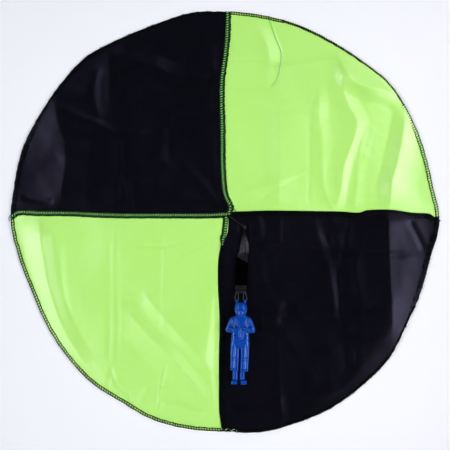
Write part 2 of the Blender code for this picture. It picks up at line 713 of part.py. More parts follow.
def build_wrap(material, collection):
    """The tape wrap: a flattened sleeve, cut on the slant at its upper end."""
    half_width = WRAP_WIDTH / 2
    half_height = WRAP_HEIGHT / 2
    bm = bmesh.new()
    rows = []
    for step in range(WRAP_ROWS + 1):
        down = step / WRAP_ROWS
        row = []
        for side in range(WRAP_SIDES):
            angle = math.tau * (side + 0.5) / WRAP_SIDES
            bulge, rise = flattened(angle, *WRAP_FLATNESS_SHARES)
            top = WRAP_TOP_LEFT_Y + (WRAP_TOP_RIGHT_Y - WRAP_TOP_LEFT_Y) * (bulge + 1) / 2
            y = top + (WRAP_END_Y - top) * down
            x = WRAP_X_START + (WRAP_X_END - WRAP_X_START) * down + bulge * half_width
            row.append(bm.verts.new((x, y, WRAP_MIDDLE_Z + rise * half_height)))
        rows.append(row)
    for upper, lower in zip(rows, rows[1:]):
        for side in range(WRAP_SIDES):
            after = (side + 1) % WRAP_SIDES
            bm.faces.new((lower[side], lower[after], upper[after], upper[side]))
    obj = add_object("ribbon_wrap", mesh_from("ribbon_wrap", bm), material, collection)
    add_wall(obj, WRAP_WALL, -1.0)
    return obj


def build_lug_loop(name, lug_x, material, collection):
    """A hairpin of cord through one lug, its two ends meeting the ribbon's tail."""
    out = LUG_THICKNESS / 2 + FIT_GAP + CORD_RADIUS
    top_y = TAIL_END_Y - FIT_GAP - CORD_RADIUS
    bend = CORD_DIAMETER
    hole_y, z = LUG_AXIS.y, LUG_AXIS.z
    places = []
    for side in (-1, 1):
        arm = [
            Vector((lug_x + side * out * LOOP_GATHER_SHARE, top_y, z)),
            Vector((lug_x + side * out, (top_y + hole_y) / 2, z)),
            Vector((lug_x + side * out, hole_y + bend / 2, z)),
            Vector((lug_x + side * (out - bend / 4), hole_y + bend / 8, z)),
            Vector((lug_x + side * (out - bend / 2), hole_y, z)),
        ]
        places += arm if side < 0 else arm[::-1]
    return tube(name, places, CORD_DIAMETER, material, collection)


def figure_place(across, down, forward):
    """A place on the figure from its shares."""
    scale = FIGURE_HEIGHT
    return Vector((FIGURE_X + across * scale, FIGURE_TOP_Y - down * scale, LIE_HEIGHT + forward * scale))


def build_limb(name, stations, collection, flatten=2.3, upward=(0, 0, 1)):
    """A closed loft of rounded sections along its stations, square to its own run."""
    upward = Vector(upward)
    middles = [figure_place(*station[:3]) for station in stations]
    bm = bmesh.new()
    rows = []
    for index, station in enumerate(stations):
        before = middles[max(index - 1, 0)]
        after = middles[min(index + 1, len(middles) - 1)]
        side = (after - before).cross(upward).normalized()
        rise = side.cross(after - before).normalized()
        half_width, half_depth = (share * FIGURE_HEIGHT for share in station[3:])
        row = []
        for step in range(LIMB_SIDES):
            angle = math.tau * step / LIMB_SIDES
            x, y = flattened(angle, 2 / flatten, 2 / flatten)
            row.append(bm.verts.new(middles[index] + side * x * half_width + rise * y * half_depth))
        rows.append(row)
    for upper, lower in zip(rows, rows[1:]):
        for step in range(LIMB_SIDES):
            after = (step + 1) % LIMB_SIDES
            bm.faces.new((upper[step], upper[after], lower[after], lower[step]))
    bm.faces.new(rows[0][::-1])
    bm.faces.new(rows[-1])
    return add_helper(name, mesh_from(name, bm), collection)


def add_helper(name, mesh, collection):
    """A shape that is joined into a piece or cut from it, and isn't a piece itself."""
    helper = bpy.data.objects.new(name, mesh)
    helper.hide_render = True
    helper.display_type = "WIRE"
    collection.objects.link(helper)
    return helper


def mirrored(stations):
    """The same stations on the other side of the helmet's middle."""
    middle = HELMET_SHARES[0][0]
    return [(2 * middle - station[0], *station[1:]) for station in stations]


def lug_places():
    """Where the two lugs stand, from left to right."""
    middle = FIGURE_X + LUG_MIDDLE_X
    return [middle - LUG_SPACING / 2, middle + LUG_SPACING / 2]


def build_cylinder(name, middle, radius, length, collection):
    """A round bar along X."""
    bm = bmesh.new()
    turn = Matrix.Translation(middle) @ Matrix.Rotation(math.pi / 2, 4, "Y")
    bmesh.ops.create_cone(bm, cap_ends=True, segments=LUG_SIDES, radius1=radius, radius2=radius,
                          depth=length, matrix=turn)  # fmt: skip
    return add_helper(name, mesh_from(name, bm), collection)


def build_lug(name, x, collection):
    """A lug: a plate with a round head and its root in the helmet."""
    build_cylinder(name + "_head", Vector((x, LUG_AXIS.y, LUG_AXIS.z)), LUG_RADIUS, LUG_THICKNESS, collection)
    bm = bmesh.new()
    bmesh.ops.create_cube(bm, size=1.0)
    middle = Vector((x, LUG_AXIS.y - LUG_ROOT / 2, LUG_AXIS.z))
    bmesh.ops.scale(bm, vec=(LUG_THICKNESS, LUG_ROOT, 2 * LUG_RADIUS), verts=bm.verts[:])
    bmesh.ops.translate(bm, vec=middle, verts=bm.verts[:])
    return add_helper(name + "_root", mesh_from(name + "_root", bm), collection)


def add_boolean(obj, operation, collection):
    """Joins or cuts an object with every shape of a collection."""
    boolean = obj.modifiers.new(operation.title(), "BOOLEAN")
    boolean.operation = operation
    boolean.operand_type = "COLLECTION"
    boolean.collection = collection


def build_figure(material, collection):
    """The figure: one moulding of helmet, face, jacket, sleeves, straps, trousers and boots."""
    forms = new_collection("figure_forms")
    bores = new_collection("figure_bores")
    torso = build_limb("figure_torso", TORSO_SHARES, forms, 2.6)
    build_limb("figure_hips", HIPS_SHARES, forms, 2.5)
    build_limb("figure_belt", BELT_SHARES, forms, 2.6)
    build_limb("figure_left_leg", LEFT_LEG_SHARES, forms)
    build_limb("figure_right_leg", RIGHT_LEG_SHARES, forms)
    build_limb("figure_left_boot", LEFT_BOOT_SHARES, forms)
    build_limb("figure_right_boot", RIGHT_BOOT_SHARES, forms)
    build_limb("figure_left_foot", LEFT_FOOT_SHARES, forms, 2.4, (0, 1, 0))
    build_limb("figure_right_foot", RIGHT_FOOT_SHARES, forms, 2.4, (0, 1, 0))
    build_limb("figure_left_sleeve", LEFT_SLEEVE_SHARES, forms)
    build_limb("figure_right_sleeve", RIGHT_SLEEVE_SHARES, forms)
    build_limb("figure_left_forearm", LEFT_FOREARM_SHARES, forms)
    build_limb("figure_right_forearm", RIGHT_FOREARM_SHARES, forms)
    build_limb("figure_neck", NECK_SHARES, forms)
    build_limb("figure_face", FACE_SHARES, forms)
    build_limb("figure_nose", NOSE_SHARES, forms)
    build_limb("figure_helmet", HELMET_SHARES, forms)
    build_limb("figure_right_ear_flap", EAR_FLAP_SHARES, forms)
    build_limb("figure_left_ear_flap", mirrored(EAR_FLAP_SHARES), forms)
    build_limb("figure_left_strap", LEFT_STRAP_SHARES, forms)
    build_limb("figure_right_strap", RIGHT_STRAP_SHARES, forms)
    for side, x in zip(("left", "right"), lug_places()):
        build_lug(f"figure_{side}_lug", x, forms)
        length = LUG_THICKNESS + 2 * CUT_OVERRUN
        build_cylinder(f"{side}_lug_bore", Vector((x, LUG_AXIS.y, LUG_AXIS.z)), LUG_BORE / 2, length, bores)
    forms.objects.unlink(torso)
    figure = add_object("figure", torso.data, material, collection)
    bpy.data.objects.remove(torso)
    add_boolean(figure, "UNION", forms)
    add_boolean(figure, "DIFFERENCE", bores)
    return figure


def new_pivot(name, place, parent, collection):
    """An empty on a joint's axis, which carries the pieces that turn there."""
    pivot = bpy.data.objects.new(name, None)
    pivot.location = place if parent is None else place - parent[1]
    pivot.parent = parent[0] if parent else None
    collection.objects.link(pivot)
    return pivot, place


def carry(obj, pivot):
    """Hangs an object on a pivot, with its own shape measured from the pivot's place."""
    obj.data.transform(Matrix.Translation(-pivot[1]))
    obj.parent = pivot[0]


def main():
    """Builds every piece of the toy."""
    clear_scene()
    toy = new_collection("toy_paratrooper")
    cloths = {
        "black": new_material("black_taffeta", BLACK_CLOTH),
        "green": new_material("green_taffeta", GREEN_CLOTH),
    }
    thread = new_material("overlock_thread", SEAM_THREAD)
    cord = new_material("black_cord", BLACK_CORD)
    satin = new_material("black_satin", BLACK_SATIN)
    tape = new_material("black_tape", BLACK_TAPE)
    plastic = new_material("blue_plastic", BLUE_PLASTIC)

    for name, (first, second, cloth, _) in PANEL_SHARES.items():
        build_panel(name, cloths[cloth], toy)
        build_hem(name.replace("panel_" + cloth, "hem"), first, second, thread, toy)
    for name in SEAM_SHARES:
        build_seam(name, thread, toy)
    build_tack(thread, toy)
    build_crown_cord(cord, toy)

    ribbon_pivot = new_pivot("ribbon_pivot", KNOT, None, toy)
    build_knot(satin, toy).parent = ribbon_pivot[0]
    carry(build_ribbon(satin, toy), ribbon_pivot)
    carry(build_wrap(tape, toy), ribbon_pivot)
    for side, x in zip(("left", "right"), lug_places()):
        carry(build_lug_loop(f"lug_loop_{side}", x, cord, toy), ribbon_pivot)
    figure_pivot = new_pivot("figure_pivot", LUG_AXIS, ribbon_pivot, toy)
    figure = build_figure(plastic, toy)
    figure.parent = figure_pivot[0]
    bpy.context.view_layer.update()
    figure.data.transform(Matrix.Translation(-figure_pivot[1]))


main()
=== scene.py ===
"""The look of a toy paratrooper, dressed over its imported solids.

The canopy is a disc of thin taffeta in four quadrants, laid out with its inner side up, so the
overlocked seam allowances show. A black satin ribbon runs from the crown through a tape wrap to the
two lugs of a glossy moulded figure.

Metres. X runs to the right, Y away from the figure's feet and Z up from the floor.
"""

from __future__ import annotations

import logging
import math
from dataclasses import dataclass
from enum import Enum
from functools import cache
from typing import Any, ClassVar, Iterable, Sequence

import bmesh
import bpy
import numpy as np
from bpy.types import GeometryNodeTree, Material, Mesh, NodeSocket, NodeTree, Object, World
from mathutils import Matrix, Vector

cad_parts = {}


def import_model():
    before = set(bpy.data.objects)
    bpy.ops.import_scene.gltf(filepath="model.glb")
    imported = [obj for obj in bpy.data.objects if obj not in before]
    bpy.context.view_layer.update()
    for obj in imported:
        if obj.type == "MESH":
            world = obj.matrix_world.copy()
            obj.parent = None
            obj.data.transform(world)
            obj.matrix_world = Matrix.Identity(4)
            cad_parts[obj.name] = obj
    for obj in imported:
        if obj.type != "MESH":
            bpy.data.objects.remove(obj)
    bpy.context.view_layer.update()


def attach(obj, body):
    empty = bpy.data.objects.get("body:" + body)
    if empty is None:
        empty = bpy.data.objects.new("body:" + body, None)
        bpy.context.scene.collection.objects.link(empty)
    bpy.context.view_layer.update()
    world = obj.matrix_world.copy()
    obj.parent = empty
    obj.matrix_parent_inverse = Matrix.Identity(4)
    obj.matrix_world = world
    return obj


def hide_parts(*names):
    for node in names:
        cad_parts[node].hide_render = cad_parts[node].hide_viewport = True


log = logging.getLogger("toy_paratrooper")

Array = np.ndarray
Colour = tuple[float, float, float]
Rows = Sequence[Sequence[float]]
Plane = tuple[tuple[float, float], ...]

MM = 0.001
LUG_Y = -88.2 * MM
LUG_Z = 7.3 * MM
LUG_SPACING = 9.2 * MM


# ----- Numbers over arrays


def ease(value: Any) -> Any:
    """Zero below zero, one above one, and an even swing between."""
    value = np.clip(value, 0.0, 1.0)
    return value * value * (3 - 2 * value)


def through(rows: Rows, at: Any) -> Array:
    """A smooth curve through rows of a place and a value.

    Args:
        rows: Pairs of place and value, in rising order of place.
        at: The places to read the curve at.

    Returns:
        The curve's values there, level beyond both ends.
    """
    places, values = (np.array(column, float) for column in zip(*rows))
    slopes = np.zeros_like(values)
    slopes[1:-1] = (values[2:] - values[:-2]) / (places[2:] - places[:-2])
    at = np.clip(np.asarray(at, float), places[0], places[-1])
    index = np.clip(np.searchsorted(places, at) - 1, 0, len(places) - 2)
    step = places[index + 1] - places[index]
    t = (at - places[index]) / step
    return (
        values[index] * (1 + 2 * t) * (1 - t) ** 2
        + slopes[index] * step * t * (1 - t) ** 2
        + values[index + 1] * t * t * (3 - 2 * t)
        + slopes[index + 1] * step * t * t * (t - 1)
    )


def through_points(points: Rows, count: int) -> Array:
    """A smooth run of this many points through a few of them."""
    points = np.array(points, float)
    ways = np.arange(len(points), dtype=float)
    fine = np.linspace(0, len(points) - 1, count)
    return np.stack([through(list(zip(ways, column)), fine) for column in points.T], axis=1)


def noise(x: Array, y: Array, size: float, seed: int) -> Array:
    """Smooth random hills over a plane.

    Args:
        x: Places along X.
        y: Places along Y.
        size: How far apart the hills stand.
        seed: Which hills.

    Returns:
        Heights between about -0.7 and 0.7.
    """
    cells = 64
    rng = np.random.default_rng(seed)
    turns = rng.uniform(0, math.tau, (cells, cells))
    tilt = rng.uniform(0, math.tau)
    u = (x * math.cos(tilt) - y * math.sin(tilt)) / size + cells / 2
    v = (x * math.sin(tilt) + y * math.cos(tilt)) / size + cells / 2
    column, row = np.floor(u).astype(int), np.floor(v).astype(int)
    du, dv = u - column, v - row
    ease_u, ease_v = (d**3 * (d * (6 * d - 15) + 10) for d in (du, dv))

    def corner(across: int, up: int) -> Array:
        turn = turns[(column + across) % cells, (row + up) % cells]
        return np.cos(turn) * (du - across) + np.sin(turn) * (dv - up)

    low = corner(0, 0) * (1 - ease_u) + corner(1, 0) * ease_u
    high = corner(0, 1) * (1 - ease_u) + corner(1, 1) * ease_u
    return low * (1 - ease_v) + high * ease_v


def beside_run(x: Array, y: Array, run: Plane) -> tuple[Array, Array, Array]:
    """Where places lie beside a run of straight stretches.

    Args:
        x: Places along X.
        y: Places along Y.
        run: The run's corners.

    Returns:
        The distance from the run, its side from one on the left to minus one on the right, and the
        share of the way along.
    """
    away = np.full(np.shape(x), np.inf)
    side = np.ones_like(away)
    along = np.zeros_like(away)
    corners = np.array(run, float)
    steps = np.diff(corners, axis=0)
    lengths = np.hypot(*steps.T)
    starts = np.concatenate([[0.0], np.cumsum(lengths)])
    for corner, step, length, start in zip(corners, steps, lengths, starts):
        dx, dy = x - corner[0], y - corner[1]
        share = np.clip((dx * step[0] + dy * step[1]) / length**2, 0, 1)
        distance = np.hypot(dx - share * step[0], dy - share * step[1])
        nearer = distance < away
        away = np.where(nearer, distance, away)
        turned = (step[0] * dy - step[1] * dx) / length / np.maximum(distance, 1e-9)
        side = np.where(nearer, np.clip(turned, -1, 1), side)
        along = np.where(nearer, (start + share * length) / starts[-1], along)
    return away, side, along


def squared(wave: Array, power: float) -> Array:
    """A sine or cosine wave made squarer by a power below one."""
    return np.sign(wave) * np.abs(wave) ** power


# ----- Meshes


def new_mesh(name: str, places: Array, faces: Iterable[Sequence[int]]) -> Mesh:
    """A smooth mesh from places and faces."""
    mesh = bpy.data.meshes.new(name)
    mesh.from_pydata(np.asarray(places).reshape(-1, 3).tolist(), [], [list(face) for face in faces])
    mesh.update()
    mesh.shade_smooth()
    return mesh


def grid_faces(rows: int, columns: int, wrap: bool = False) -> Array:
    """The quads of a grid of places, row by row.

    Args:
        rows: How many rows of places.
        columns: How many places in a row.
        wrap: Whether each row closes on itself.

    Returns:
        One quad a line, facing the side from which the next row lies clockwise of a row's way.
    """
    row = np.arange(rows - 1)[:, None]
    column = np.arange(columns if wrap else columns - 1)[None]
    after = (column + 1) % columns
    corners = ((row + 1) * columns + column, (row + 1) * columns + after,
               row * columns + after, row * columns + column)
    return np.stack(corners, axis=-1).reshape(-1, 4)


def slab(name: str, top: Array, drop: float | Array) -> Mesh:
    """A closed sheet: a grid of places facing up, its copy below, and the edge between.

    Args:
        name: The mesh's name.
        top: The grid, as rows of places, the next row lying clockwise of a row's way from above.
        drop: How far the lower face lies below, or the way to it from each place.

    Returns:
        The mesh, with its faces pointing out and its own UV map from the grid.
    """
    rows, columns = top.shape[:2]
    count = rows * columns
    below = top - (np.array([0, 0, drop]) if np.isscalar(drop) else drop)
    upper = grid_faces(rows, columns)
    lower = upper[:, ::-1] + count
    line = np.arange(count).reshape(rows, columns)
    ring = np.concatenate([line[0], line[1:, -1], line[-1, -2::-1], line[-2:0:-1, 0]])
    after = np.roll(ring, -1)
    edge = np.stack([ring, after, after + count, ring + count], axis=1)
    mesh = new_mesh(name, np.concatenate([top.reshape(-1, 3), below.reshape(-1, 3)]),
                    np.concatenate([upper, lower, edge]))
    along, across = np.meshgrid(np.linspace(0, 1, rows), np.linspace(0, 1, columns), indexing="ij")
    flat = np.tile(np.stack([across, along], axis=-1).reshape(-1, 2), (2, 1))
    add_uv(mesh, flat)
    return mesh


def keep_on_places(mesh: Mesh, name: str, values: Array) -> None:
    """Keeps a number on each of a mesh's vertices, for the node trees to read."""
    mesh.attributes.new(name, "FLOAT", "POINT").data.foreach_set("value", values.astype(np.float32))


def grown(mesh: Mesh, *steps: tuple[str, dict[str, Any]]) -> Mesh:
    """What modifiers make of a mesh, which is then removed.

    Args:
        mesh: The mesh.
        steps: The type of each modifier, with its settings and its tree's inputs.

    Returns:
        The new mesh, without modifiers.
    """
    holder = bpy.data.objects.new(mesh.name, mesh)
    for kind, settings in steps:
        step = holder.modifiers.new(kind.title(), kind)
        for name, value in settings.items():
            if hasattr(step, name):
                setattr(step, name, value)
            else:
                step[name] = value
    bpy.context.scene.collection.objects.link(holder)
    made = bpy.data.meshes.new_from_object(holder.evaluated_get(bpy.context.evaluated_depsgraph_get()))
    bpy.data.objects.remove(holder, do_unlink=True)
    bpy.data.meshes.remove(mesh)
    return made


def add_uv(mesh: Mesh, flat: Array) -> None:
    """Gives a mesh a UV map from one flat place for each of its vertices."""
    corners = np.empty(len(mesh.loops), np.int32)
    mesh.loops.foreach_get("vertex_index", corners)
    mesh.uv_layers.new(name="UVMap").data.foreach_set("uv", flat[corners].astype(np.float32).ravel())


def unit(ways: Array) -> Array:
    """Directions at length one, where one without a length stays as it is."""
    return ways / np.maximum(np.linalg.norm(ways, axis=-1, keepdims=True), 1e-12)


def frames_along(points: Array, upward: Sequence[float] = (0, 0, 1),
                 closed: bool = False) -> tuple[Array, Array]:
    """The sideways and upright directions at each point of a path."""
    ring = np.roll(points, -1, axis=0) - np.roll(points, 1, axis=0)
    ahead = ring if closed else np.gradient(points, axis=0)
    side = unit(np.cross(ahead, np.array(upward, float)))
    return side, unit(np.cross(side, ahead))


def sweep(name: str, points: Array, across: Any, high: Any, sides: int, upward: Sequence[float] = (0, 0, 1),
          closed: bool = False, roundness: float = 2.0) -> Mesh:
    """A round or flattened rod along a path.

    Args:
        name: The mesh's name.
        points: The path.
        across: Its half width, one for all or one a point.
        high: Its half height, one for all or one a point.
        sides: How many sides it has.
        upward: The direction that the height follows.
        closed: Whether the path is a ring.
        roundness: Two for a round section, and more for a squarer one.

    Returns:
        The closed mesh, with its faces pointing out.
    """
    side, rise = frames_along(points, upward, closed)
    turn = np.linspace(0, math.tau, sides, endpoint=False)
    wide, tall = (squared(wave, 2 / roundness)[:, None] for wave in (np.cos(turn), np.sin(turn)))
    across, high = (np.broadcast_to(half, len(points))[:, None, None] for half in (across, high))
    rings = points[:, None] + side[:, None] * wide * across + rise[:, None] * tall * high
    first = np.arange(sides)
    last = first + (len(points) - 1) * sides
    if closed:
        ends = np.stack([first, np.roll(first, -1), np.roll(last, -1), last], axis=1)
    else:
        ends = np.stack([first, last[::-1]])
    return new_mesh(name, rings, [*grid_faces(len(points), sides, wrap=True), *ends])


def places_of(mesh: Mesh) -> Array:
    """The places of a mesh's vertices."""
    places = np.empty(len(mesh.vertices) * 3)
    mesh.vertices.foreach_get("co", places)
    return places.reshape(-1, 3)


def joined(name: str, meshes: Sequence[Mesh]) -> Mesh:
    """One mesh from several, which are then removed."""
    places, faces, start = [], [], 0
    for mesh in meshes:
        places.append(places_of(mesh))
        faces += [[vertex + start for vertex in face.vertices] for face in mesh.polygons]
        start += len(mesh.vertices)
        bpy.data.meshes.remove(mesh)
    return new_mesh(name, np.concatenate(places), faces)


def add_piece(name: str, mesh: Mesh, *finishes: Finish) -> Object:
    """An object of this mesh at the origin, with these finishes in its material slots."""
    mesh.name = name
    if finishes:
        mesh.materials.clear()
    for finish in finishes:
        mesh.materials.append(material_of(finish))
    piece = bpy.data.objects.new(name, mesh)
    bpy.context.scene.collection.objects.link(piece)
    return piece


def give_slots(piece: Object, slots: Array) -> None:
    """Gives each face of a piece its material slot."""
    piece.data.polygons.foreach_set("material_index", slots.astype(np.int32))


def hand_over(piece: Object, body: str, slot: str, *nodes: str) -> Object:
    """Rides a piece on its body, hides the solids that it stands for, and reports it."""
    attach(piece, body)
    if nodes:
        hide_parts(*nodes)
    piece.data.calc_loop_triangles()
    log.info("%s: %d triangles, on %s", piece.name, len(piece.data.loop_triangles), body)
    return piece


# ----- Nodes


class Link:
    """A node's output, on which Python's operators add Math nodes."""

    def __init__(self, graph: Graph, socket: NodeSocket) -> None:
        """Keeps the output and the graph that it belongs to."""
        self.graph = graph
        self.socket = socket

    def math(self, operation: str, first: Any, second: Any = 0.0) -> Link:
        """The result of one Math node."""
        return self.graph.add("ShaderNodeMath", {"operation": operation}, {0: first, 1: second})

    def __add__(self, other: Any) -> Link:
        """This plus another."""
        return self.math("ADD", self, other)

    __radd__ = __add__

    def __sub__(self, other: Any) -> Link:
        """This less another."""
        return self.math("SUBTRACT", self, other)

    def __rsub__(self, other: Any) -> Link:
        """Another less this."""
        return self.math("SUBTRACT", other, self)

    def __mul__(self, other: Any) -> Link:
        """This times another."""
        return self.math("MULTIPLY", self, other)

    __rmul__ = __mul__

    def sine(self) -> Link:
        """The sine of this."""
        return self.math("SINE", self)

    def between(self, low: float, high: float) -> Link:
        """An even swing from zero at low to one at high."""
        settings = {"interpolation_type": "SMOOTHSTEP"}
        return self.graph.add("ShaderNodeMapRange", settings, {0: self, 1: low, 2: high})


@dataclass(frozen=True)
class Place:
    """A place as a vector and as its three numbers."""

    vector: Link
    x: Link
    y: Link
    z: Link


class Graph:
    """The nodes of one shader or geometry tree."""

    def __init__(self, tree: NodeTree) -> None:
        """Keeps the tree that the nodes go into."""
        self.tree = tree

    def add(self, kind: str, settings: dict | None = None, inputs: dict | None = None,
            output: int | str = 0) -> Link | None:
        """Adds a node.

        Args:
            kind: The node's type.
            settings: Its settings.
            inputs: Its sockets by name or number, each with a value, a link or a list of links.
            output: The output that is wanted.

        Returns:
            That output, or None for a node that has none.
        """
        node = self.tree.nodes.new(kind)
        for name, value in (settings or {}).items():
            setattr(node, name, value)
        for key, value in (inputs or {}).items():
            self.feed(node.inputs[key], value)
        return Link(self, node.outputs[output]) if node.outputs else None

    def feed(self, socket: NodeSocket, value: Any) -> None:
        """Links or sets one input."""
        if isinstance(value, Link):
            self.tree.links.new(value.socket, socket)
        elif isinstance(value, list):
            for link in value:
                self.tree.links.new(link.socket, socket)
        elif socket.type == "RGBA" and len(value) == 3:
            socket.default_value = (*value, 1.0)
        else:
            socket.default_value = value

    def split(self, vector: Link) -> Place:
        """A vector with its three numbers."""
        parts = self.tree.nodes.new("ShaderNodeSeparateXYZ")
        self.tree.links.new(vector.socket, parts.inputs[0])
        return Place(vector, *(Link(self, parts.outputs[axis]) for axis in "XYZ"))

    def place(self) -> Place:
        """The place on the piece, in metres."""
        return self.split(self.add("ShaderNodeTexCoord", output="Object"))

    def flat_place(self) -> Place:
        """The place on the piece's own UV map."""
        return self.split(self.add("ShaderNodeUVMap", {"uv_map": "UVMap"}))

    def vector(self, x: Any, y: Any, z: Any = 0.0) -> Link:
        """A vector from three numbers."""
        return self.add("ShaderNodeCombineXYZ", inputs={"X": x, "Y": y, "Z": z})

    def stretched(self, place: Place, scales: Sequence[float]) -> Link:
        """A place with each of its numbers scaled."""
        return self.vector(*(part * scale for part, scale in zip((place.x, place.y, place.z), scales)))

    def speckle(self, vector: Link, scale: float, detail: float = 2.0, rough: float = 0.5) -> Link:
        """Noise between zero and one."""
        inputs = {"Vector": vector, "Scale": scale, "Detail": detail, "Roughness": rough}
        return self.add("ShaderNodeTexNoise", {"noise_dimensions": "3D"}, inputs)

    def blend(self, first: Any, second: Any, share: Any) -> Link:
        """One colour passing into another."""
        settings = {"data_type": "RGBA", "blend_type": "MIX"}
        return self.add("ShaderNodeMix", settings, {0: share, 6: first, 7: second}, 2)

    def seen(self) -> Link:
        """One for what the camera sees, straight or mirrored, and zero for the light on other pieces."""
        kinds = [self.add("ShaderNodeLightPath", output=f"Is {kind} Ray")
                 for kind in ("Camera", "Glossy", "Transmission")]
        return kinds[0].math("MAXIMUM", kinds[0], kinds[1].math("MAXIMUM", kinds[1], kinds[2]))

    def attribute(self, name: str) -> Link:
        """A number kept on the piece's vertices."""
        settings = {"attribute_type": "GEOMETRY", "attribute_name": name}
        return self.add("ShaderNodeAttribute", settings, output="Fac")

    def bump(self, height: Link, depth: float, strength: float = 1.0) -> Link:
        """A normal that follows a height between zero and one."""
        inputs = {"Strength": strength, "Distance": depth, "Height": height}
        return self.add("ShaderNodeBump", inputs=inputs)


def fresh_graph(owner: Material | World) -> Graph:
    """The emptied shader tree of a new material or world."""
    owner.use_nodes = True
    owner.node_tree.nodes.clear()
    return Graph(owner.node_tree)


# ----- Finishes


@dataclass(frozen=True)
class Finish:
    """A surface finish, whose dress method gives the inputs of its Principled shader."""

    name: str

    def dress(self, graph: Graph) -> dict[str, Any]:
        """The shader's inputs."""
        raise NotImplementedError

    def surface(self, graph: Graph) -> Link:
        """The shader."""
        return graph.add("ShaderNodeBsdfPrincipled", inputs=self.dress(graph))


@cache
def material_of(finish: Finish) -> Material:
    """The finish's material, made once."""
    made = bpy.data.materials.new(finish.name)
    graph = fresh_graph(made)
    graph.add("ShaderNodeOutputMaterial", inputs={"Surface": finish.surface(graph)})
    return made


@dataclass(frozen=True)
class Taffeta(Finish):
    """Thin plain-woven cloth with a faint calendered gloss, and painted shade along the floors of its narrow
    creases.
    """

    deep: Colour
    light: Colour
    roughness: float
    density: float
    specular: float
    gloss_tint: Colour
    shade_in_creases: Colour
    thread_pitch: float = 0.45 * MM
    slubs: tuple[float, float] = (900.0, 9.0)
    clouds: float = 16.0
    crush: float = 95.0

    def dress(self, graph: Graph) -> dict[str, Any]:
        """Crossing threads, slubs along both, clouds where the cloth was pressed, and painted shade in its
        creases.
        """
        place = graph.place()
        turn = math.tau / self.thread_pitch
        weave = (place.x * turn).sine() * (place.y * turn).sine()
        fine, long = self.slubs
        warp = graph.speckle(graph.vector(place.x * fine, place.y * long), 1.0, 3.0)
        weft = graph.speckle(graph.vector(place.x * long, place.y * fine, 3.0), 1.0, 3.0)
        cloud = graph.speckle(place.vector, self.clouds, 4.0, 0.55)
        crush = graph.speckle(place.vector, self.crush, 5.0, 0.6)
        tone = (cloud * 0.55 + crush * 0.25 + (warp + weft) * 0.10).between(0.32, 0.68)
        colour = graph.blend(self.deep, self.light, tone)
        # Painted shade: the colour darkens along the floors of narrow valleys.
        colour = graph.blend(colour, self.shade_in_creases, graph.attribute("crease").between(0.05, 1.0))
        height = weave * 0.25 + (warp + weft) * 0.35 + crush * 1.6
        return {
            "Base Color": colour,
            "Roughness": self.roughness + (crush - 0.5) * 0.16 + (warp + weft - 1.0) * 0.10,
            "Normal": graph.bump(height, 0.06 * MM, 0.8),
            "IOR": self.density,
            "Specular IOR Level": self.specular,
            "Specular Tint": self.gloss_tint,
        }


@dataclass(frozen=True)
class SpunThread(Finish):
    """Spun sewing thread, twisted and a little hairy."""

    deep: Colour
    light: Colour
    roughness: float = 0.7
    gloss: float = 0.06
    plies: float = 9000.0
    unevenness: float = 900.0

    def dress(self, graph: Graph) -> dict[str, Any]:
        """The twist of the plies and the uneven dye."""
        place = graph.place()
        twist = ((place.x + place.y * 0.7 + place.z * 1.3) * self.plies).sine() * 0.5 + 0.5
        dye = graph.speckle(place.vector, self.unevenness, 3.0)
        tone = (twist * 0.4 + dye * 0.6).between(0.3, 0.7)
        return {
            "Base Color": graph.blend(self.deep, self.light, tone),
            "Roughness": self.roughness + (dye - 0.5) * 0.2,
            "Normal": graph.bump(twist * 0.6 + dye * 0.4, 0.05 * MM),
            "Specular IOR Level": self.gloss,
        }


@dataclass(frozen=True)
class Satin(Finish):
    """Satin ribbon with long shiny floats and dull gaps between, the floats' sheen partly painted as lighter
    streaks.
    """

    deep: Colour
    light: Colour
    streaks: float
    roughness: float
    specular: float
    gloss_tint: Colour = (0.86, 0.83, 1.0)
    ribs: float = 900.0

    def dress(self, graph: Graph) -> dict[str, Any]:
        """Streaks that follow the ribbon, fine and broad, lighter in colour as painted sheen."""
        flat = graph.flat_place()
        fine = graph.speckle(graph.vector(flat.x * self.streaks, flat.y * 3.0), 1.0, 4.0, 0.65)
        broad = graph.speckle(graph.vector(flat.x * self.streaks * 0.2, flat.y * 1.6, 5.0), 1.0, 2.0)
        ribs = (flat.y * self.ribs).sine() * 0.5 + 0.5
        # Painted sheen: the lighter streaks in the colour stand for the shine of the floats; the roughness
        # and bump that follow them are the weave's own.
        tone = (fine * 0.6 + broad * 0.4).between(0.38, 0.64)
        return {
            "Base Color": graph.blend(self.deep, self.light, tone),
            "Roughness": self.roughness + (fine - 0.5) * 0.25,
            "Normal": graph.bump(fine * 0.85 + ribs * 0.15, 0.12 * MM),
            "Specular IOR Level": self.specular,
            "Specular Tint": self.gloss_tint,
        }


@dataclass(frozen=True)
class Tape(Finish):
    """Dull woven tape with a coarse rib."""

    deep: Colour
    light: Colour
    roughness: float = 0.85
    rib_pitch: float = 0.8 * MM
    grain_pitch: float = 0.5 * MM
    lint: float = 1400.0

    def dress(self, graph: Graph) -> dict[str, Any]:
        """Ribs across the tape, with the lint that it gathers."""
        place = graph.place()
        rib = (place.y * (math.tau / self.rib_pitch)).sine() * 0.5 + 0.5
        grain = (place.x * (math.tau / self.grain_pitch)).sine() * 0.5 + 0.5
        lint = graph.speckle(place.vector, self.lint, 4.0, 0.7)
        tone = (rib * grain * 0.4 + lint * 0.6).between(0.35, 0.75)
        return {
            "Base Color": graph.blend(self.deep, self.light, tone),
            "Roughness": self.roughness + (lint - 0.5) * 0.1,
            "Normal": graph.bump(rib * 0.6 + grain * 0.3 + lint * 0.3, 0.10 * MM),
            "Specular IOR Level": 0.008,
        }


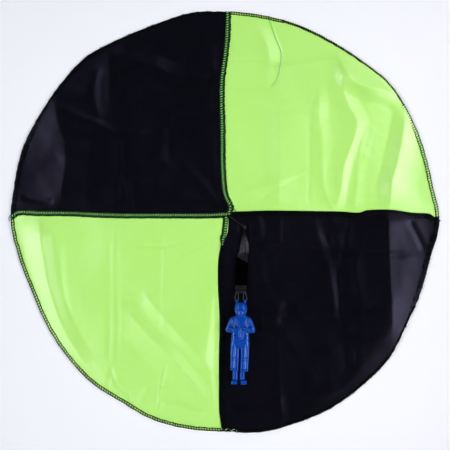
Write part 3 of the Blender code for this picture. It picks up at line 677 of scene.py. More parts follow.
@dataclass(frozen=True)
class MouldedPlastic(Finish):
    """Glossy injection-moulded plastic with painted shade in its carved hollows, and scuffed a little."""

    colour: Colour
    hollow: Colour
    worn: Colour
    roughness: float
    specular: float = 0.45
    gloss_tint: Colour = (0.42, 0.64, 1.0)
    flow: tuple[float, float, float] = (60.0, 22.0, 60.0)
    scuffs: tuple[float, float, float] = (700.0, 120.0, 300.0)
    dimples: float = 1300.0

    def dress(self, graph: Graph) -> dict[str, Any]:
        """Flow marks, fine dimples, scuffs, and painted shade that deepens with the hollows."""
        place = graph.place()
        flow = graph.speckle(graph.stretched(place, self.flow), 1.0, 3.0)
        dimples = graph.speckle(place.vector, self.dimples, 2.0)
        scuffs = graph.speckle(graph.stretched(place, self.scuffs), 1.0, 5.0, 0.7)
        scuffed = scuffs.between(0.60, 0.74)
        # Painted shade: darker with the depth of the carved hollows, swayed by the random flow tone.
        depth = graph.attribute("hollow")
        body = graph.blend(self.colour, self.hollow, (depth + (flow - 0.5) * 0.5).between(0.0, 1.0))
        return {
            "Base Color": graph.blend(body, self.worn, scuffed * 0.35),
            "Roughness": self.roughness + scuffed * 0.18 + (flow - 0.5) * 0.10,
            "Normal": graph.bump(dimples * 0.4 + flow * 2.0 + scuffs * 0.2, 0.03 * MM),
            "Specular IOR Level": self.specular,
            "Specular Tint": self.gloss_tint,
        }


@dataclass(frozen=True)
class Backdrop(Finish):
    """A plain pale floor."""

    colour: Colour
    shade: Colour
    far: Colour
    fade: tuple[float, float] = (0.12, 0.40)

    def surface(self, graph: Graph) -> Link:
        """The card, which fades to one pale tone between two squared distances from the toy."""
        place = graph.place()
        away = (place.x * place.x + place.y * place.y).between(*self.fade)
        card = super().surface(graph)
        tone = graph.add("ShaderNodeEmission", inputs={"Color": self.far, "Strength": 1.0})
        return graph.add("ShaderNodeMixShader", inputs={0: graph.seen() * away, 1: card, 2: tone})

    def dress(self, graph: Graph) -> dict[str, Any]:
        """A faint mottle, as on a sheet of card."""
        mottle = graph.speckle(graph.place().vector, 6.0, 3.0)
        return {
            "Base Color": graph.blend(self.shade, self.colour, mottle.between(0.2, 0.7)),
            "Roughness": 0.8 + (mottle - 0.5) * 0.05,
            "Specular IOR Level": 0.2,
        }


# The last colour of each cloth is the painted shade on the floors of its narrow creases.
BLACK_TAFFETA = Taffeta("black_taffeta_look", (0.0006, 0.0006, 0.0014), (0.0014, 0.0014, 0.0030),
                        0.35, 1.5, 0.21, (0.64, 0.61, 1.0), (0.0002, 0.0002, 0.0005))
GREEN_TAFFETA = Taffeta("green_taffeta_look", (0.412, 0.865, 0.104), (0.445, 0.890, 0.136),
                        0.50, 1.8, 1.0, (1.0, 1.0, 1.0), (0.13, 0.58, 0.01))
# The seam allowance is the panels' green cloth, darkened as painted shade under the overlock threads.
SHADED_GREEN_ALLOWANCE = Taffeta("green_allowance_look", (0.004, 0.070, 0.002), (0.020, 0.170, 0.012),
                          0.5, 1.5, 0.2, (0.6, 1.0, 0.6), (0.001, 0.016, 0.001))
OVERLOCK_THREAD = SpunThread("overlock_thread_look", (0.0010, 0.0050, 0.0010), (0.004, 0.020, 0.004))
DARK_THREAD = SpunThread("dark_overlock_thread_look", (0.0004, 0.0008, 0.0006), (0.0015, 0.003, 0.002))
# Pale thread whose colour paints the glints, together with the green cloth that shows, between the dark
# loops of the green seams; one thread end by the front rim uses it too.
PALE_GLINT_THREAD = SpunThread("pale_looper_thread_look", (0.30, 0.80, 0.20), (0.60, 1.0, 0.45))
CORD_THREAD = SpunThread("twisted_cord_look", (0.0010, 0.0010, 0.0012), (0.012, 0.012, 0.014), 0.34, 0.36)
RIBBON_SATIN = Satin("black_satin_look", (0.0010, 0.0010, 0.0018), (0.013, 0.012, 0.018), 42.0, 0.32, 0.29)
WRAP_TAPE = Tape("black_tape_look", (0.0002, 0.0002, 0.0003), (0.0010, 0.0010, 0.0012))
# The second colour is the painted shade in the figure's carved hollows.
BLUE_PLASTIC = MouldedPlastic("blue_plastic_look", (0.0012, 0.050, 0.350), (0.0004, 0.013, 0.115),
                              (0.006, 0.09, 0.46), 0.11)
PALE_FLOOR = Backdrop("pale_floor", (0.900, 0.912, 0.965), (0.885, 0.897, 0.950), (0.83, 0.85, 0.91))


# ----- Stitches


class Stitch(Enum):
    """The threads of one stitch, each as four places along the pitch, the width and the lift."""

    OVERLOCK = (
        ((-0.55, 0.10, 0.7), (-0.25, 0.06, 1.2), (0.25, 0.14, 1.2), (0.55, 0.10, 0.7)),
        ((-0.46, 0.10, 0.9), (-0.40, 0.35, 1.7), (-0.16, 0.70, 1.7), (0.02, 0.97, 0.8)),
        ((-0.16, 0.10, 0.8), (-0.10, 0.32, 1.5), (0.10, 0.66, 1.5), (0.24, 0.97, 0.7)),
        ((-0.55, 0.93, 0.6), (-0.25, 1.02, 1.2), (0.25, 0.98, 1.2), (0.55, 0.93, 0.6)),
        ((0.02, 0.97, 0.8), (0.08, 1.10, 0.4), (0.14, 1.12, -0.6), (0.20, 1.02, -1.0)),
    )
    EDGE = (
        ((-0.55, 0.92, 0.8), (-0.25, 0.92, 1.3), (0.25, 0.92, 1.3), (0.55, 0.92, 0.8)),
        ((-0.30, 0.92, 1.0), (-0.22, 0.60, 1.7), (-0.10, 0.20, 1.7), (0.02, -0.06, 1.0)),
        ((-0.52, 0.00, 0.5), (-0.25, -0.14, 1.0), (0.25, -0.14, 1.0), (0.52, 0.00, 0.5)),
        ((0.02, -0.06, 1.0), (0.08, -0.24, 0.8), (0.10, -0.24, -1.0), (0.12, -0.02, -1.1)),
        ((0.12, -0.02, -1.1), (0.24, 0.30, -1.4), (0.40, 0.60, -1.4), (0.60, 0.92, -1.0)),
    )
    ROLL = (
        ((-0.60, 0.90, 0.6), (-0.30, 0.55, 1.6), (0.05, 0.20, 1.6), (0.35, -0.08, 0.8)),
        ((-0.20, 0.90, 0.6), (0.10, 0.55, 1.6), (0.45, 0.20, 1.6), (0.75, -0.08, 0.8)),
        ((0.35, -0.08, 0.8), (0.45, -0.26, 0.2), (0.50, -0.20, -0.8), (0.40, 0.10, -1.2)),
        ((0.40, 0.10, -1.2), (0.20, 0.40, -1.5), (-0.20, 0.70, -1.4), (-0.60, 0.90, -0.4)),
    )
    # Pale slanted bars that paint the glints between the loops of a green seam.
    GLINT = (((-0.10, 0.18, 0.9), (-0.05, 0.26, 2.2), (0.06, 0.46, 2.2), (0.12, 0.56, 0.9)),)


@cache
def stitch_tree(stitch: Stitch) -> GeometryNodeTree:
    """A node tree that sews one kind of stitch along a path.

    Args:
        stitch: Which threads one stitch has.

    Returns:
        The tree, with the pitch, the width, the thread's radius, the looseness, the seed and the
        material as named inputs.
    """
    tree = bpy.data.node_groups.new(f"{stitch.name.lower()}_stitches", "GeometryNodeTree")
    for kind, names in (("Geometry", ("Path",)), ("Float", ("Pitch", "Width", "Thread", "Loose")),
                        ("Int", ("Seed",)), ("Material", ("Finish",))):
        for name in names:
            tree.interface.new_socket(name, in_out="INPUT", socket_type="NodeSocket" + kind)
    tree.interface.new_socket("Stitches", in_out="OUTPUT", socket_type="NodeSocketGeometry")
    graph = Graph(tree)
    given = tree.nodes.new("NodeGroupInput")
    taken = {socket.name: Link(graph, socket) for socket in given.outputs if socket.name}

    scale = graph.vector(taken["Pitch"], taken["Width"], taken["Thread"])
    inputs = {"Resolution": 5, "Radius": taken["Thread"]}
    profile = graph.add("GeometryNodeCurvePrimitiveCircle", {"mode": "RADIUS"}, inputs)
    threads = []
    for places in stitch.value:
        inputs = {"Resolution": 4}
        for name, place in zip(("Start", "Start Handle", "End Handle", "End"), places):
            inputs[name] = graph.add("ShaderNodeVectorMath", {"operation": "MULTIPLY"}, {0: scale, 1: place})
        bend = graph.add("GeometryNodeCurvePrimitiveBezierSegment", {"mode": "POSITION"}, inputs)
        inputs = {"Curve": bend, "Profile Curve": profile, "Fill Caps": True}
        threads.append(graph.add("GeometryNodeCurveToMesh", inputs=inputs))
    single = graph.add("GeometryNodeJoinGeometry", inputs={"Geometry": threads})

    path = graph.add("GeometryNodeMeshToCurve", inputs={0: taken["Path"]})
    inputs = {"Curve": path, "Length": taken["Pitch"]}
    points = graph.add("GeometryNodeResampleCurve", {"mode": "LENGTH"}, inputs)
    narrow = graph.add("GeometryNodeInputNamedAttribute", {"data_type": "FLOAT"}, {"Name": "narrow"})
    heading = graph.add("GeometryNodeInputTangent")
    settings = {"axis": "X", "pivot_axis": "Z"}
    turned = graph.add("FunctionNodeAlignRotationToVector", settings, {"Vector": heading})
    loose = taken["Loose"]
    lowest = graph.vector(loose * -0.3, loose * -0.3, loose * -1.0)
    highest = graph.vector(loose * 0.3, loose * 0.3, loose)
    inputs = {0: lowest, 1: highest, "Seed": taken["Seed"]}
    askew = graph.add("FunctionNodeRandomValue", {"data_type": "FLOAT_VECTOR"}, inputs)
    turned = graph.add("FunctionNodeRotateRotation", {"rotation_space": "LOCAL"}, {0: turned, 1: askew})
    inputs = {2: 1.0 - loose * 0.6, 3: 1.0 + loose * 0.6, "Seed": taken["Seed"] + 1.0}
    size = graph.add("FunctionNodeRandomValue", {"data_type": "FLOAT"}, inputs, 1)
    scale = graph.vector(size, size * narrow, size)
    inputs = {"Points": points, "Instance": single, "Rotation": turned, "Scale": scale}
    sewn = graph.add("GeometryNodeInstanceOnPoints", inputs=inputs)
    plain = graph.add("GeometryNodeRealizeInstances", inputs={"Geometry": sewn})
    plain = graph.add("GeometryNodeSetShadeSmooth", inputs={"Geometry": plain})
    plain = graph.add("GeometryNodeSetMaterial", inputs={"Geometry": plain, "Material": taken["Finish"]})
    graph.add("NodeGroupOutput", inputs={"Stitches": plain})
    return tree


def sew(name: str, path: Array, stitch: Stitch, finish: Finish, pitch: float, width: float,
        thread: float, loose: float, seed: int, narrow: Any = 1.0) -> Mesh:
    """Sews stitches along a path.

    Args:
        name: The mesh's name.
        path: The path, with the stitches' width to its left, or to its right where it is negative.
        stitch: The kind of stitch.
        finish: The thread's finish.
        pitch: The length of one stitch.
        width: The stitches' width.
        thread: The thread's radius.
        loose: How unevenly they lie, from zero.
        seed: Which unevenness.
        narrow: The share of the width at each place of the path, or at all of them.

    Returns:
        The stitches as a plain mesh.
    """
    line = bpy.data.meshes.new(name + "_path")
    line.from_pydata(path.tolist(), [(i, i + 1) for i in range(len(path) - 1)], [])
    keep_on_places(line, "narrow", np.broadcast_to(narrow, len(path)))
    tree = stitch_tree(stitch)
    values = {"Pitch": pitch, "Width": width, "Thread": thread, "Loose": loose, "Seed": seed,
              "Finish": material_of(finish)}
    sockets = tree.interface.items_tree
    inputs = {socket.identifier: values[socket.name] for socket in sockets if socket.name in values}
    mesh = grown(line, ("NODES", {"node_group": tree, **inputs}))
    mesh.name = name
    return mesh


# ----- Canopy


@dataclass(frozen=True)
class Fold:
    """A fold in the cloth, in millimetres.

    A negative height is a valley. The flanks are the widths to the left and to the right of the run.
    """

    height: float
    left: float
    right: float
    run: Plane
    crest: ClassVar[float] = 0.6 * MM
    sharpness: ClassVar[float] = 1.35
    fading: ClassVar[float] = 0.16
    crease_width: ClassVar[float] = 0.75 * MM

    @property
    def line(self) -> Array:
        """The run as a fine line, in metres."""
        return through_points(self.run, 5 * len(self.run)) * MM

    def lift(self, x: Array, y: Array) -> Array:
        """How far it lifts the cloth at these places, all in metres."""
        run = self.line
        reach = max(self.left, self.right) * MM
        low, high = run.min(axis=0) - reach, run.max(axis=0) + reach
        near = (x > low[0]) & (x < high[0]) & (y > low[1]) & (y < high[1])
        away, side, along = beside_run(x[near], y[near], run)
        flank = (self.left * (1 + side) + self.right * (1 - side)) * MM / 2
        share = np.clip(1 - (np.hypot(away, self.crest) - self.crest) / flank, 0, 1)
        ends = ease(along / self.fading) * ease((1 - along) / self.fading)
        lift = np.zeros_like(x)
        lift[near] = self.height * MM * share**self.sharpness * (0.1 + 0.9 * ends)
        return lift

    def crease(self, x: Array, y: Array) -> Array:
        """How much painted shade it lays on the cloth at these places, up to one along the floor of a narrow
        valley.
        """
        if self.height >= 0 or min(self.left, self.right) > 7:
            return np.zeros_like(x)
        away, _, along = beside_run(x, y, self.line)
        ends = ease(along / 0.12) * ease((1 - along) / 0.12)
        return min(-self.height, 1.3) * 0.75 * ends * np.exp(-((away / self.crease_width) ** 2))


FOLDS = tuple(Fold(height, left, right, tuple(zip(run[::2], run[1::2]))) for height, left, right, *run in (
    # Black back left
    (3.0, 42, 46, -189, 155, -192, 133, -185, 108, -178, 86, -181, 52, -185, 15),
    (2.2, 60, 60, -145, 104, -149, 64, -154, 9),
    (1.1, 34, 17, -132, 200, -129, 165, -128, 132, -120, 97),
    (-0.6, 8, 8, -140, 176, -147, 155, -147, 137, -138, 115),
    (-1.1, 6, 8, -183, 128, -156, 116, -139, 109, -126, 101, -113, 99, -82, 105),
    (2.4, 48, 16, -131, 198, -84, 189, -53, 180, -4, 176),
    (-1.7, 14, 11, -120, 187, -84, 178, -53, 165, -4, 164),
    (-0.9, 7, 8, -66, 115, -39, 119, -5, 120),
    (0.4, 7, 9, -59, 133, -62, 110, -59, 59),
    (0.8, 6, 15, -120, 101, -118, 64, -121, 41, -127, 15),
    (-0.5, 4, 5, -110, 52, -107, 34, -103, 9),
    (-1.1, 9, 8, -48, 70, -23, 41, -3, 18),
    (-0.5, 5, 5, -59, 27, -12, 24),
    (-0.8, 6, 7, -230, 29, -214, 25, -190, 23),
    (-0.35, 14, 14, -219, 47, -201, 61, -181, 74),
    (0.5, 7, 5, -107, 50, -89, 59, -66, 64),
    # Green back right
    (-1.4, 2.5, 12, 46, 239, 56, 209, 63, 191, 62, 176, 58, 160, 47, 149),
    (1.7, 11, 12, 6, 232, 35, 218, 47, 200, 51, 178),
    (0.8, 14, 5, 61, 180, 62, 160, 61, 140),
    (2.3, 32, 16, 60, 133, 61, 81, 61, 9),
    (-0.35, 3, 4, 107, 153, 98, 131, 96, 106, 95, 9),
    (1.3, 12, 12, 106, 155, 105, 117, 109, 95, 109, 64, 113, 35, 125, 7),
    (2.3, 14, 18, 129, 182, 131, 155, 137, 133, 146, 117, 147, 103, 141, 83, 134, 64, 131, 41, 124, 7),
    (5.8, 32, 15, 127, 196, 133, 173, 144, 158, 161, 151, 181, 147, 196, 138, 203, 122, 200, 99, 194, 74,
     187, 43, 185, 7),
    (-0.7, 10, 9, 159, 110, 147, 76, 140, 50, 132, 9),
    (0.8, 11, 9, 159, 104, 150, 68, 145, 9),
    (-0.4, 6, 8, 17, 14, 60, 37, 99, 59),
    (0.4, 6, 6, 8, 27, 53, 43, 95, 58, 116, 68),
    (-0.4, 4, 4, 27, 11, 42, 25, 58, 37),
    (0.5, 7, 6, 60, 174, 98, 179, 135, 185),
    (-0.5, 7, 7, -1, 179, 35, 181, 63, 172),
    (-0.4, 8, 7, -1, 149, 49, 151),
    (0.6, 9, 8, 17, 137, 85, 128, 118, 113),
    # Green front left
    (5.2, 13, 20, -208, 7, -205, -27, -199, -65, -189, -99, -174, -132, -154, -164),
    (-0.7, 8, 13, -185, -18, -185, -48, -181, -87, -175, -121, -169, -144),
    (-0.45, 3, 5, -129, -20, -129, -54, -129, -87, -130, -159),
    (-0.35, 4, 3, -121, 0, -120, -87, -121, -162),
    (0.7, 10, 5, -55, 0, -64, -14, -67, -33, -68, -76, -68, -110, -75, -126),
    (-0.4, 4, 4, -100, -27, -67, -27, -36, -22),
    (-0.5, 3, 4, -55, -41, -33, -32, -17, -23, -3, -14),
    (2.3, 30, 13, -95, -74, -66, -110, -39, -139, -12, -168),
    (2.6, 11, 22, -111, -99, -84, -128, -53, -159, -19, -200),
    (-0.6, 3, 4, -126, -162, -129, -177, -134, -191),
    (-0.6, 4, 3, -126, -166, -121, -184, -109, -195),
    (-0.7, 4, 4, -66, -157, -72, -182, -75, -216),
    (1.0, 4, 13, -71, -182, -75, -198, -76, -213),
    (1.5, 7, 12, -73, -203, -48, -208, -21, -217),
    (-0.5, 3, 3, -109, -189, -107, -209),
    (0.5, 5, 5, -84, -184, -94, -198, -100, -211),
    (1.2, 30, 30, -157, -138, -140, -166, -118, -186),
    # Black front right
    (0.3, 4, 4, 62, 11, 62, -9, 62, -36),
    (0.35, 5, 5, 59, -126, 61, -166, 62, -209),
    (0.8, 10, 20, 33, -27, 46, -74, 58, -93, 59, -108, 55, -128),
    (-1.0, 5, 6, 20, -22, 51, -28, 85, -31, 129, -33, 174, -35, 227, -36),
    (0.45, 3, 4, 37, -72, 80, -68, 120, -69),
    (-1.0, 5, 7, 53, -108, 80, -112, 91, -112, 103, -108, 128, -111),
    (-0.45, 4, 4, 64, -96, 79, -91, 88, -95, 100, -105),
    (0.8, 8, 20, 98, 7, 109, -31, 116, -48, 119, -72, 123, -90, 127, -108),
    (-0.8, 10, 7, 106, -7, 122, -31, 126, -49, 127, -72, 129, -101, 136, -123),
    (0.7, 12, 6, 120, 16, 123, -25, 128, -60),
    (-0.6, 8, 7, 146, 16, 136, -16, 129, -58),
    (1.0, 14, 12, 156, 18, 152, -29, 147, -49, 147, -67, 153, -92),
    (5.6, 46, 44, 181, 29, 183, -26, 185, -65, 187, -99, 191, -157),
    (2.4, 60, 60, 143, 8, 147, -42, 154, -121),
    (-1.0, 6, 5, 206, 4, 215, -14, 226, -35),
    (1.9, 38, 11, 131, -105, 143, -136, 147, -153, 145, -169, 136, -182, 123, -191, 100, -198, 80, -209),
    (-1.1, 9, 26, 136, -117, 144, -144, 143, -168, 134, -182, 118, -187),
    (-0.5, 7, 8, 127, -104, 147, -101, 172, -94),
    (0.7, 16, 9, 60, -108, 80, -144, 103, -184),
    (-0.9, 6, 7, -3, -209, 42, -210, 64, -217),
    (-0.6, 5, 6, -5, -219, 24, -220, 46, -225),
    (0.9, 8, 16, 61, -191, 64, -213, 67, -236),
))

# The cloth's faint hills, and its crumples with ridges between: height and size in millimetres, and seed.
HILLS = ((4.0, 95, 21), (1.0, 42, 22))
CRUMPLES = ((0.8, 62, 31), (0.35, 24, 32))

RIM_SHARES = (
    1.002, 0.987, 0.990, 1.000, 1.008, 0.991, 0.984, 0.985, 0.983,
    0.985, 0.991, 0.981, 0.989, 1.009, 1.004, 1.000, 1.006, 0.999,
    1.000, 0.975, 0.957, 0.961, 0.968, 0.975, 0.969, 0.982, 0.980,
    0.978, 0.996, 0.997, 1.001, 0.998, 0.998, 0.977, 0.972, 0.975,
)


class Seam(Enum):
    """A seam's heading in degrees, its bends and its band's side, in shares as in the part's source."""

    RIGHT = (
        1.5,
        ((0, 0), (0.036, 0.005), (0.11, 0.0085), (0.20, 0.0132), (0.35, 0.0139), (0.53, 0.0146),
         (0.62, 0.0115), (0.66, 0.0235), (0.77, 0.0275), (0.88, 0.015), (0.955, 0.0123), (0.985, -0.0045),
         (1, 0)),
        ((0, -0.5), (1, -0.5)),
    )
    BACK = (
        89.75,
        ((0, 0), (0.03, -0.006), (0.06, 0.009), (0.11, 0.0235), (0.26, 0.031), (0.41, 0.030),
         (0.56, 0.0325), (0.66, 0.029), (0.76, 0.016), (0.84, 0.007), (0.89, 0.0025), (1, 0)),
        ((0, -0.5), (1, -0.5)),
    )
    LEFT = (
        177.9,
        ((0, 0), (0.08, 0.0025), (0.32, 0.0005), (0.46, 0), (0.60, -0.005), (0.74, -0.0126),
         (0.88, -0.015), (0.95, -0.019), (0.975, -0.016), (1, 0)),
        ((0, 0.5), (1, 0.5)),
    )
    FRONT = (
        269.1,
        ((0, 0), (0.04, 0.005), (0.07, 0.004), (0.10, 0), (0.144, -0.0215), (0.19, -0.033),
         (0.25, -0.0375), (0.33, -0.036), (0.42, -0.029), (0.52, -0.0225), (0.64, -0.0225),
         (0.78, -0.018), (0.91, -0.0125), (1, 0)),
        ((0, -0.5), (0.115, -0.5), (0.175, 0.5), (1, 0.5)),
    )

    @property
    def angle(self) -> float:
        """The heading in radians."""
        return math.radians(self.value[0])


@dataclass(frozen=True)
class Hem:
    """A stretch of the rim's stitches, from and to a share of the quadrant's turn, in millimetres."""

    start: float
    end: float
    stitch: Stitch
    width: float
    pitch: float
    thread: float


@dataclass(frozen=True)
class Quadrant:
    """One quarter of the canopy: its name, its two seams, its cloth, its flat area and its hems."""

    name: str
    first: Seam
    second: Seam
    cloth: Taffeta
    area: float
    hems: tuple[Hem, ...]

    @property
    def sweep(self) -> float:
        """The angle between its seams."""
        return (self.second.angle - self.first.angle) % math.tau


QUADRANTS = (
    Quadrant("green_back_right", Seam.RIGHT, Seam.BACK, GREEN_TAFFETA, 0.0440,
             (Hem(0.002, 0.36, Stitch.EDGE, 3.3, 2.7, 0.38), Hem(0.36, 0.82, Stitch.ROLL, 2.6, 2.2, 0.36),
              Hem(0.82, 0.998, Stitch.EDGE, 2.7, 2.7, 0.46))),
    Quadrant("black_back_left", Seam.BACK, Seam.LEFT, BLACK_TAFFETA, 0.0430,
             (Hem(0.002, 0.11, Stitch.EDGE, 3.0, 2.5, 0.36), Hem(0.11, 0.70, Stitch.ROLL, 2.5, 2.3, 0.46),
              Hem(0.70, 0.998, Stitch.EDGE, 4.2, 2.5, 0.38))),
    Quadrant("green_front_left", Seam.LEFT, Seam.FRONT, GREEN_TAFFETA, 0.0455,
             (Hem(0.002, 0.998, Stitch.EDGE, 2.9, 3.0, 0.48),)),
    Quadrant("black_front_right", Seam.FRONT, Seam.RIGHT, BLACK_TAFFETA, 0.0490,
             (Hem(0.002, 0.72, Stitch.ROLL, 2.6, 2.4, 0.50), Hem(0.72, 0.998, Stitch.EDGE, 4.2, 2.5, 0.38))),
)


# The ends of thread: the finish, the radius and the way in millimetres.
THREAD_ENDS = (
    (OVERLOCK_THREAD, 0.40, ((-236, 10), (-240, 8.6), (-242.4, 4.6), (-241.4, 1.0))),
    (OVERLOCK_THREAD, 0.30, ((6.6, 19), (9.8, 15.5), (12.4, 12), (15.6, 10.4))),
    (PALE_GLINT_THREAD, 0.42, ((-5, -231), (0, -233.4), (3.4, -231.6), (7, -234), (10.4, -232.4), (13.8, -234.4))),
    (OVERLOCK_THREAD, 0.40, ((-3, -233.4), (2.4, -231.8), (6.8, -233.6), (11.4, -232), (15.4, -234))),
)


@dataclass
class Canopy:
    """The disc of cloth with its seams, hems, crown tack and crown cord."""

    radius: float = 240 * MM
    crown_x: float = 3.0 * MM
    crown_y: float = 10.9 * MM
    cloth: float = 0.22 * MM
    cells: int = 190
    seam_lift: float = 0.3 * MM
    seam_calm: float = 12 * MM
    seam_free: float = 0.7
    rim_slope: float = 30 * MM
    rim_ripple: float = 0.0026
    ground: float = 1.6 * MM
    ground_blend: float = 0.2 * MM
    cap_blend: float = 0.5 * MM
    cap: float = 11.0 * MM
    calm_cap: float = 1.55 * MM
    wander: float = 1.6 * MM
    wander_size: float = 30 * MM
    bundle_x: float = 14 * MM
    bundle_y: tuple[float, float] = (-10 * MM, -185 * MM)
    bundle_reach: float = 23 * MM
    bundle_slope: float = 32 * MM
    pucker: float = 0.16 * MM
    pucker_reach: float = 16 * MM
    ripple_size: float = 9 * MM
    hem_lift: float = 0.45 * MM
    hem_reach: float = 7 * MM
    knot_x: float = 22.1 * MM
    knot_y: float = -6.5 * MM
    knot_bed: float = 7.0 * MM
    thread_drape: float = 0.6 * MM
    thread_calm: float = 9 * MM
    thread_inside: float = 60 * MM
    thread_gap: float = 0.15
    hem_line: float = 0.9985
    green_loose: float = 0.11
    dark_loose: float = 0.42
    front_turn: float = 0.15
    front_pinch: float = 0.62
    front_pinch_reach: float = 0.018
    band_wander: float = 0.035
    band_width: float = 5.5 * MM
    band_thickness: float = 0.34 * MM
    band_gap: float = 0.02 * MM
    band_edge: float = 0.03 * MM
    band_end: float = 0.997
    band_steps: int = 220
    turn_bulge: float = 0.6 * MM
    seam_pitch: float = 2.7 * MM
    seam_loose: float = 0.10
    glint_thread: float = 0.42 * MM
    seam_thread: float = 0.36 * MM
    tack_x: float = 4.2 * MM
    tack_y: float = 7.5 * MM
    tack_radius: float = 4.0 * MM
    tack_cover: float = 0.55
    tack_bars: int = 9
    tack_reaches: tuple[float, float] = (0.86, 0.98)
    tack_rise: tuple[float, float, float, float] = (0.45 * MM, 0.95 * MM, 0.10 * MM, 0.5 * MM)
    tack_thread: tuple[float, float] = (0.55 * MM, 0.32 * MM)
    cord_end: tuple[float, float, float] = (20.9 * MM, -4.8 * MM, 3.4 * MM)
    cord_start: float = 2.3 * MM
    cord_rise: float = 2.2 * MM
    cord_twists: int = 11
    strand_radius: float = 0.26 * MM
    strand_offset: float = 0.22 * MM

    @property
    def crown(self) -> Array:
        """The place where the four seams meet."""
        return np.array([self.crown_x, self.crown_y])

    def rim(self, angle: Any) -> Array:
        """Places on the rim at these angles round the middle of the disc."""
        count = len(RIM_SHARES)
        rows = [(place, RIM_SHARES[place % count]) for place in range(-1, count + 2)]
        reach = self.radius * through(rows, np.asarray(angle) % math.tau / (math.tau / count))
        return np.stack([reach * np.cos(angle), reach * np.sin(angle)], axis=-1)

    def seam_frame(self, seam: Seam) -> tuple[Array, Array]:
        """A seam's whole run from the crown to the rim, and the direction to its left."""
        run = self.rim(seam.angle) - self.crown
        heading = run / np.hypot(*run)
        return run, np.array([-heading[1], heading[0]])

    def seam_places(self, seam: Seam, reach: Array, sideways: Any = 0.0) -> Array:
        """Places along a seam at these shares of the way from the crown, moved sideways."""
        run, left = self.seam_frame(seam)
        bend = self.radius * through(seam.value[1], reach) + sideways
        return self.crown + run * reach[..., None] + left * bend[..., None]

    def quadrant_places(self, quadrant: Quadrant, reach: Array, turn: Array) -> Array:
        """Places in a quadrant at shares of the way out and of the way round."""
        ray = self.rim(quadrant.first.angle + quadrant.sweep * turn) - self.crown
        places = self.crown + ray * reach[..., None]
        for seam, near in ((quadrant.first, 1 - turn), (quadrant.second, turn)):
            left = self.seam_frame(seam)[1]
            bend = self.radius * through(seam.value[1], reach)
            places = places + left * (bend * near**2)[..., None]
        return places

    def lift(self, places: Array, beside: Any, inside: Any) -> Array:
        """The height of the cloth's underside.

        Args:
            places: Places on the floor.
            beside: The distance of each from the nearest seam.
            inside: The distance of each from the rim.

        Returns:
            The heights above the floor.
        """
        x, y = places[..., 0], places[..., 1]
        u = x + self.wander * noise(x, y, self.wander_size, 11)
        v = y + self.wander * noise(x, y, self.wander_size, 12)
        height = self.ground
        for high, size, seed in HILLS:
            height = height + high * MM * noise(u, v, size * MM, seed)
        for high, size, seed in CRUMPLES:
            height = height + high * MM * (0.28 - np.abs(noise(u, v, size * MM, seed)))
        for fold in FOLDS:
            height = height + fold.lift(u, v)
        height = 0.5 * (height + np.hypot(height, self.ground_blend))
        away = beside_run(x, y, tuple((self.bundle_x, end) for end in self.bundle_y))[0]
        beyond = ease((away - self.bundle_reach) / self.bundle_slope)
        cap = self.calm_cap + (self.cap - self.calm_cap) * beyond
        height = cap - 0.5 * (cap - height + np.hypot(cap - height, self.cap_blend))
        bed = np.exp(-((x - self.knot_x) ** 2 + (y - self.knot_y) ** 2) / self.knot_bed**2)
        height = np.maximum(height, 0.0) * (1 - bed)
        free = self.seam_free + (1 - self.seam_free) * ease(beside / self.seam_calm)
        free = free * (0.12 + 0.88 * (1 - (1 - np.clip(inside / self.rim_slope, 0, 1)) ** 2))
        pucker = self.pucker * noise(x, y, self.ripple_size, 41) * (1 - ease(beside / self.pucker_reach))
        rim = self.hem_lift * (1 - ease(inside / self.hem_reach))
        height = height * free + (self.seam_lift * (1 - free) + pucker) * (1 - bed)
        return np.maximum(height, 0.02 * MM) + rim

    def surface(self, quadrant: Quadrant, reach: Array, turn: Array) -> Array:
        """Places on the underside of a quadrant's cloth."""
        places = self.quadrant_places(quadrant, reach, turn)
        ripple = noise(places[..., 0], places[..., 1], self.ripple_size, 45) * reach**24
        places = places * (1 + self.rim_ripple * ripple[..., None])
        beside = reach * self.radius * quadrant.sweep * np.minimum(turn, 1 - turn)
        height = self.lift(places, beside, (1 - reach) * self.radius)
        return np.concatenate([places, height[..., None]], axis=-1)

    def build_panel(self, quadrant: Quadrant) -> Object:
        """A quadrant of cloth from the crown to the rim, lifted by its folds."""
        column, row = np.meshgrid(np.arange(self.cells + 1), np.arange(self.cells + 1), indexing="ij")
        reach = np.maximum(column, row) / self.cells
        safe_column, safe_row = np.maximum(column, 1), np.maximum(row, 1)
        turn = np.where(column >= row, 0.5 * row / safe_column, 1 - 0.5 * column / safe_row)
        top = self.surface(quadrant, reach, turn)
        top[..., 2] += self.cloth
        name = f"{quadrant.name}_cloth"
        mesh = slab(name, top, self.cloth)
        # Painted shade along the narrow valleys, kept on the vertices for the cloth's colour.
        shade_in_creases = np.max([fold.crease(top[..., 0], top[..., 1]) for fold in FOLDS], axis=0)
        keep_on_places(mesh, "crease", np.tile(shade_in_creases.ravel(), 2))
        return add_piece(name, mesh, quadrant.cloth)

    def band_narrowing(self, seam: Seam, reach: Array) -> Array:
        """The share of its width that a seam's band shows, least where the front one turns over."""
        pinch = np.exp(-(((reach - self.front_turn) / self.front_pinch_reach) ** 2))
        return 1 - self.front_pinch * pinch * (seam is Seam.FRONT)

    def band_places(self, seam: Seam, reach: Array, share: float, lift: float) -> Array:
        """Places on a seam's folded allowance, at a share of its width to the left of its middle."""
        narrow = self.band_narrowing(seam, reach)
        middle = self.band_width * narrow * through(seam.value[2], reach)
        beside = middle + self.band_width * narrow * share
        places = self.seam_places(seam, reach, beside)
        height = self.lift(places, np.abs(beside), (1 - reach) * self.radius) + self.cloth
        height = height + lift + (1 - narrow) * self.turn_bulge
        return np.concatenate([places, height[:, None]], axis=1)

    def band_reaches(self, seam: Seam) -> Array:
        """The shares of a seam's way that its band takes, from the tack to the rim."""
        run, _ = self.seam_frame(seam)
        tack = np.array([self.tack_x, self.tack_y]) - self.crown
        first = (tack @ run / np.hypot(*run) + self.tack_radius * self.tack_cover) / np.hypot(*run)
        return np.linspace(first, self.band_end, self.band_steps)

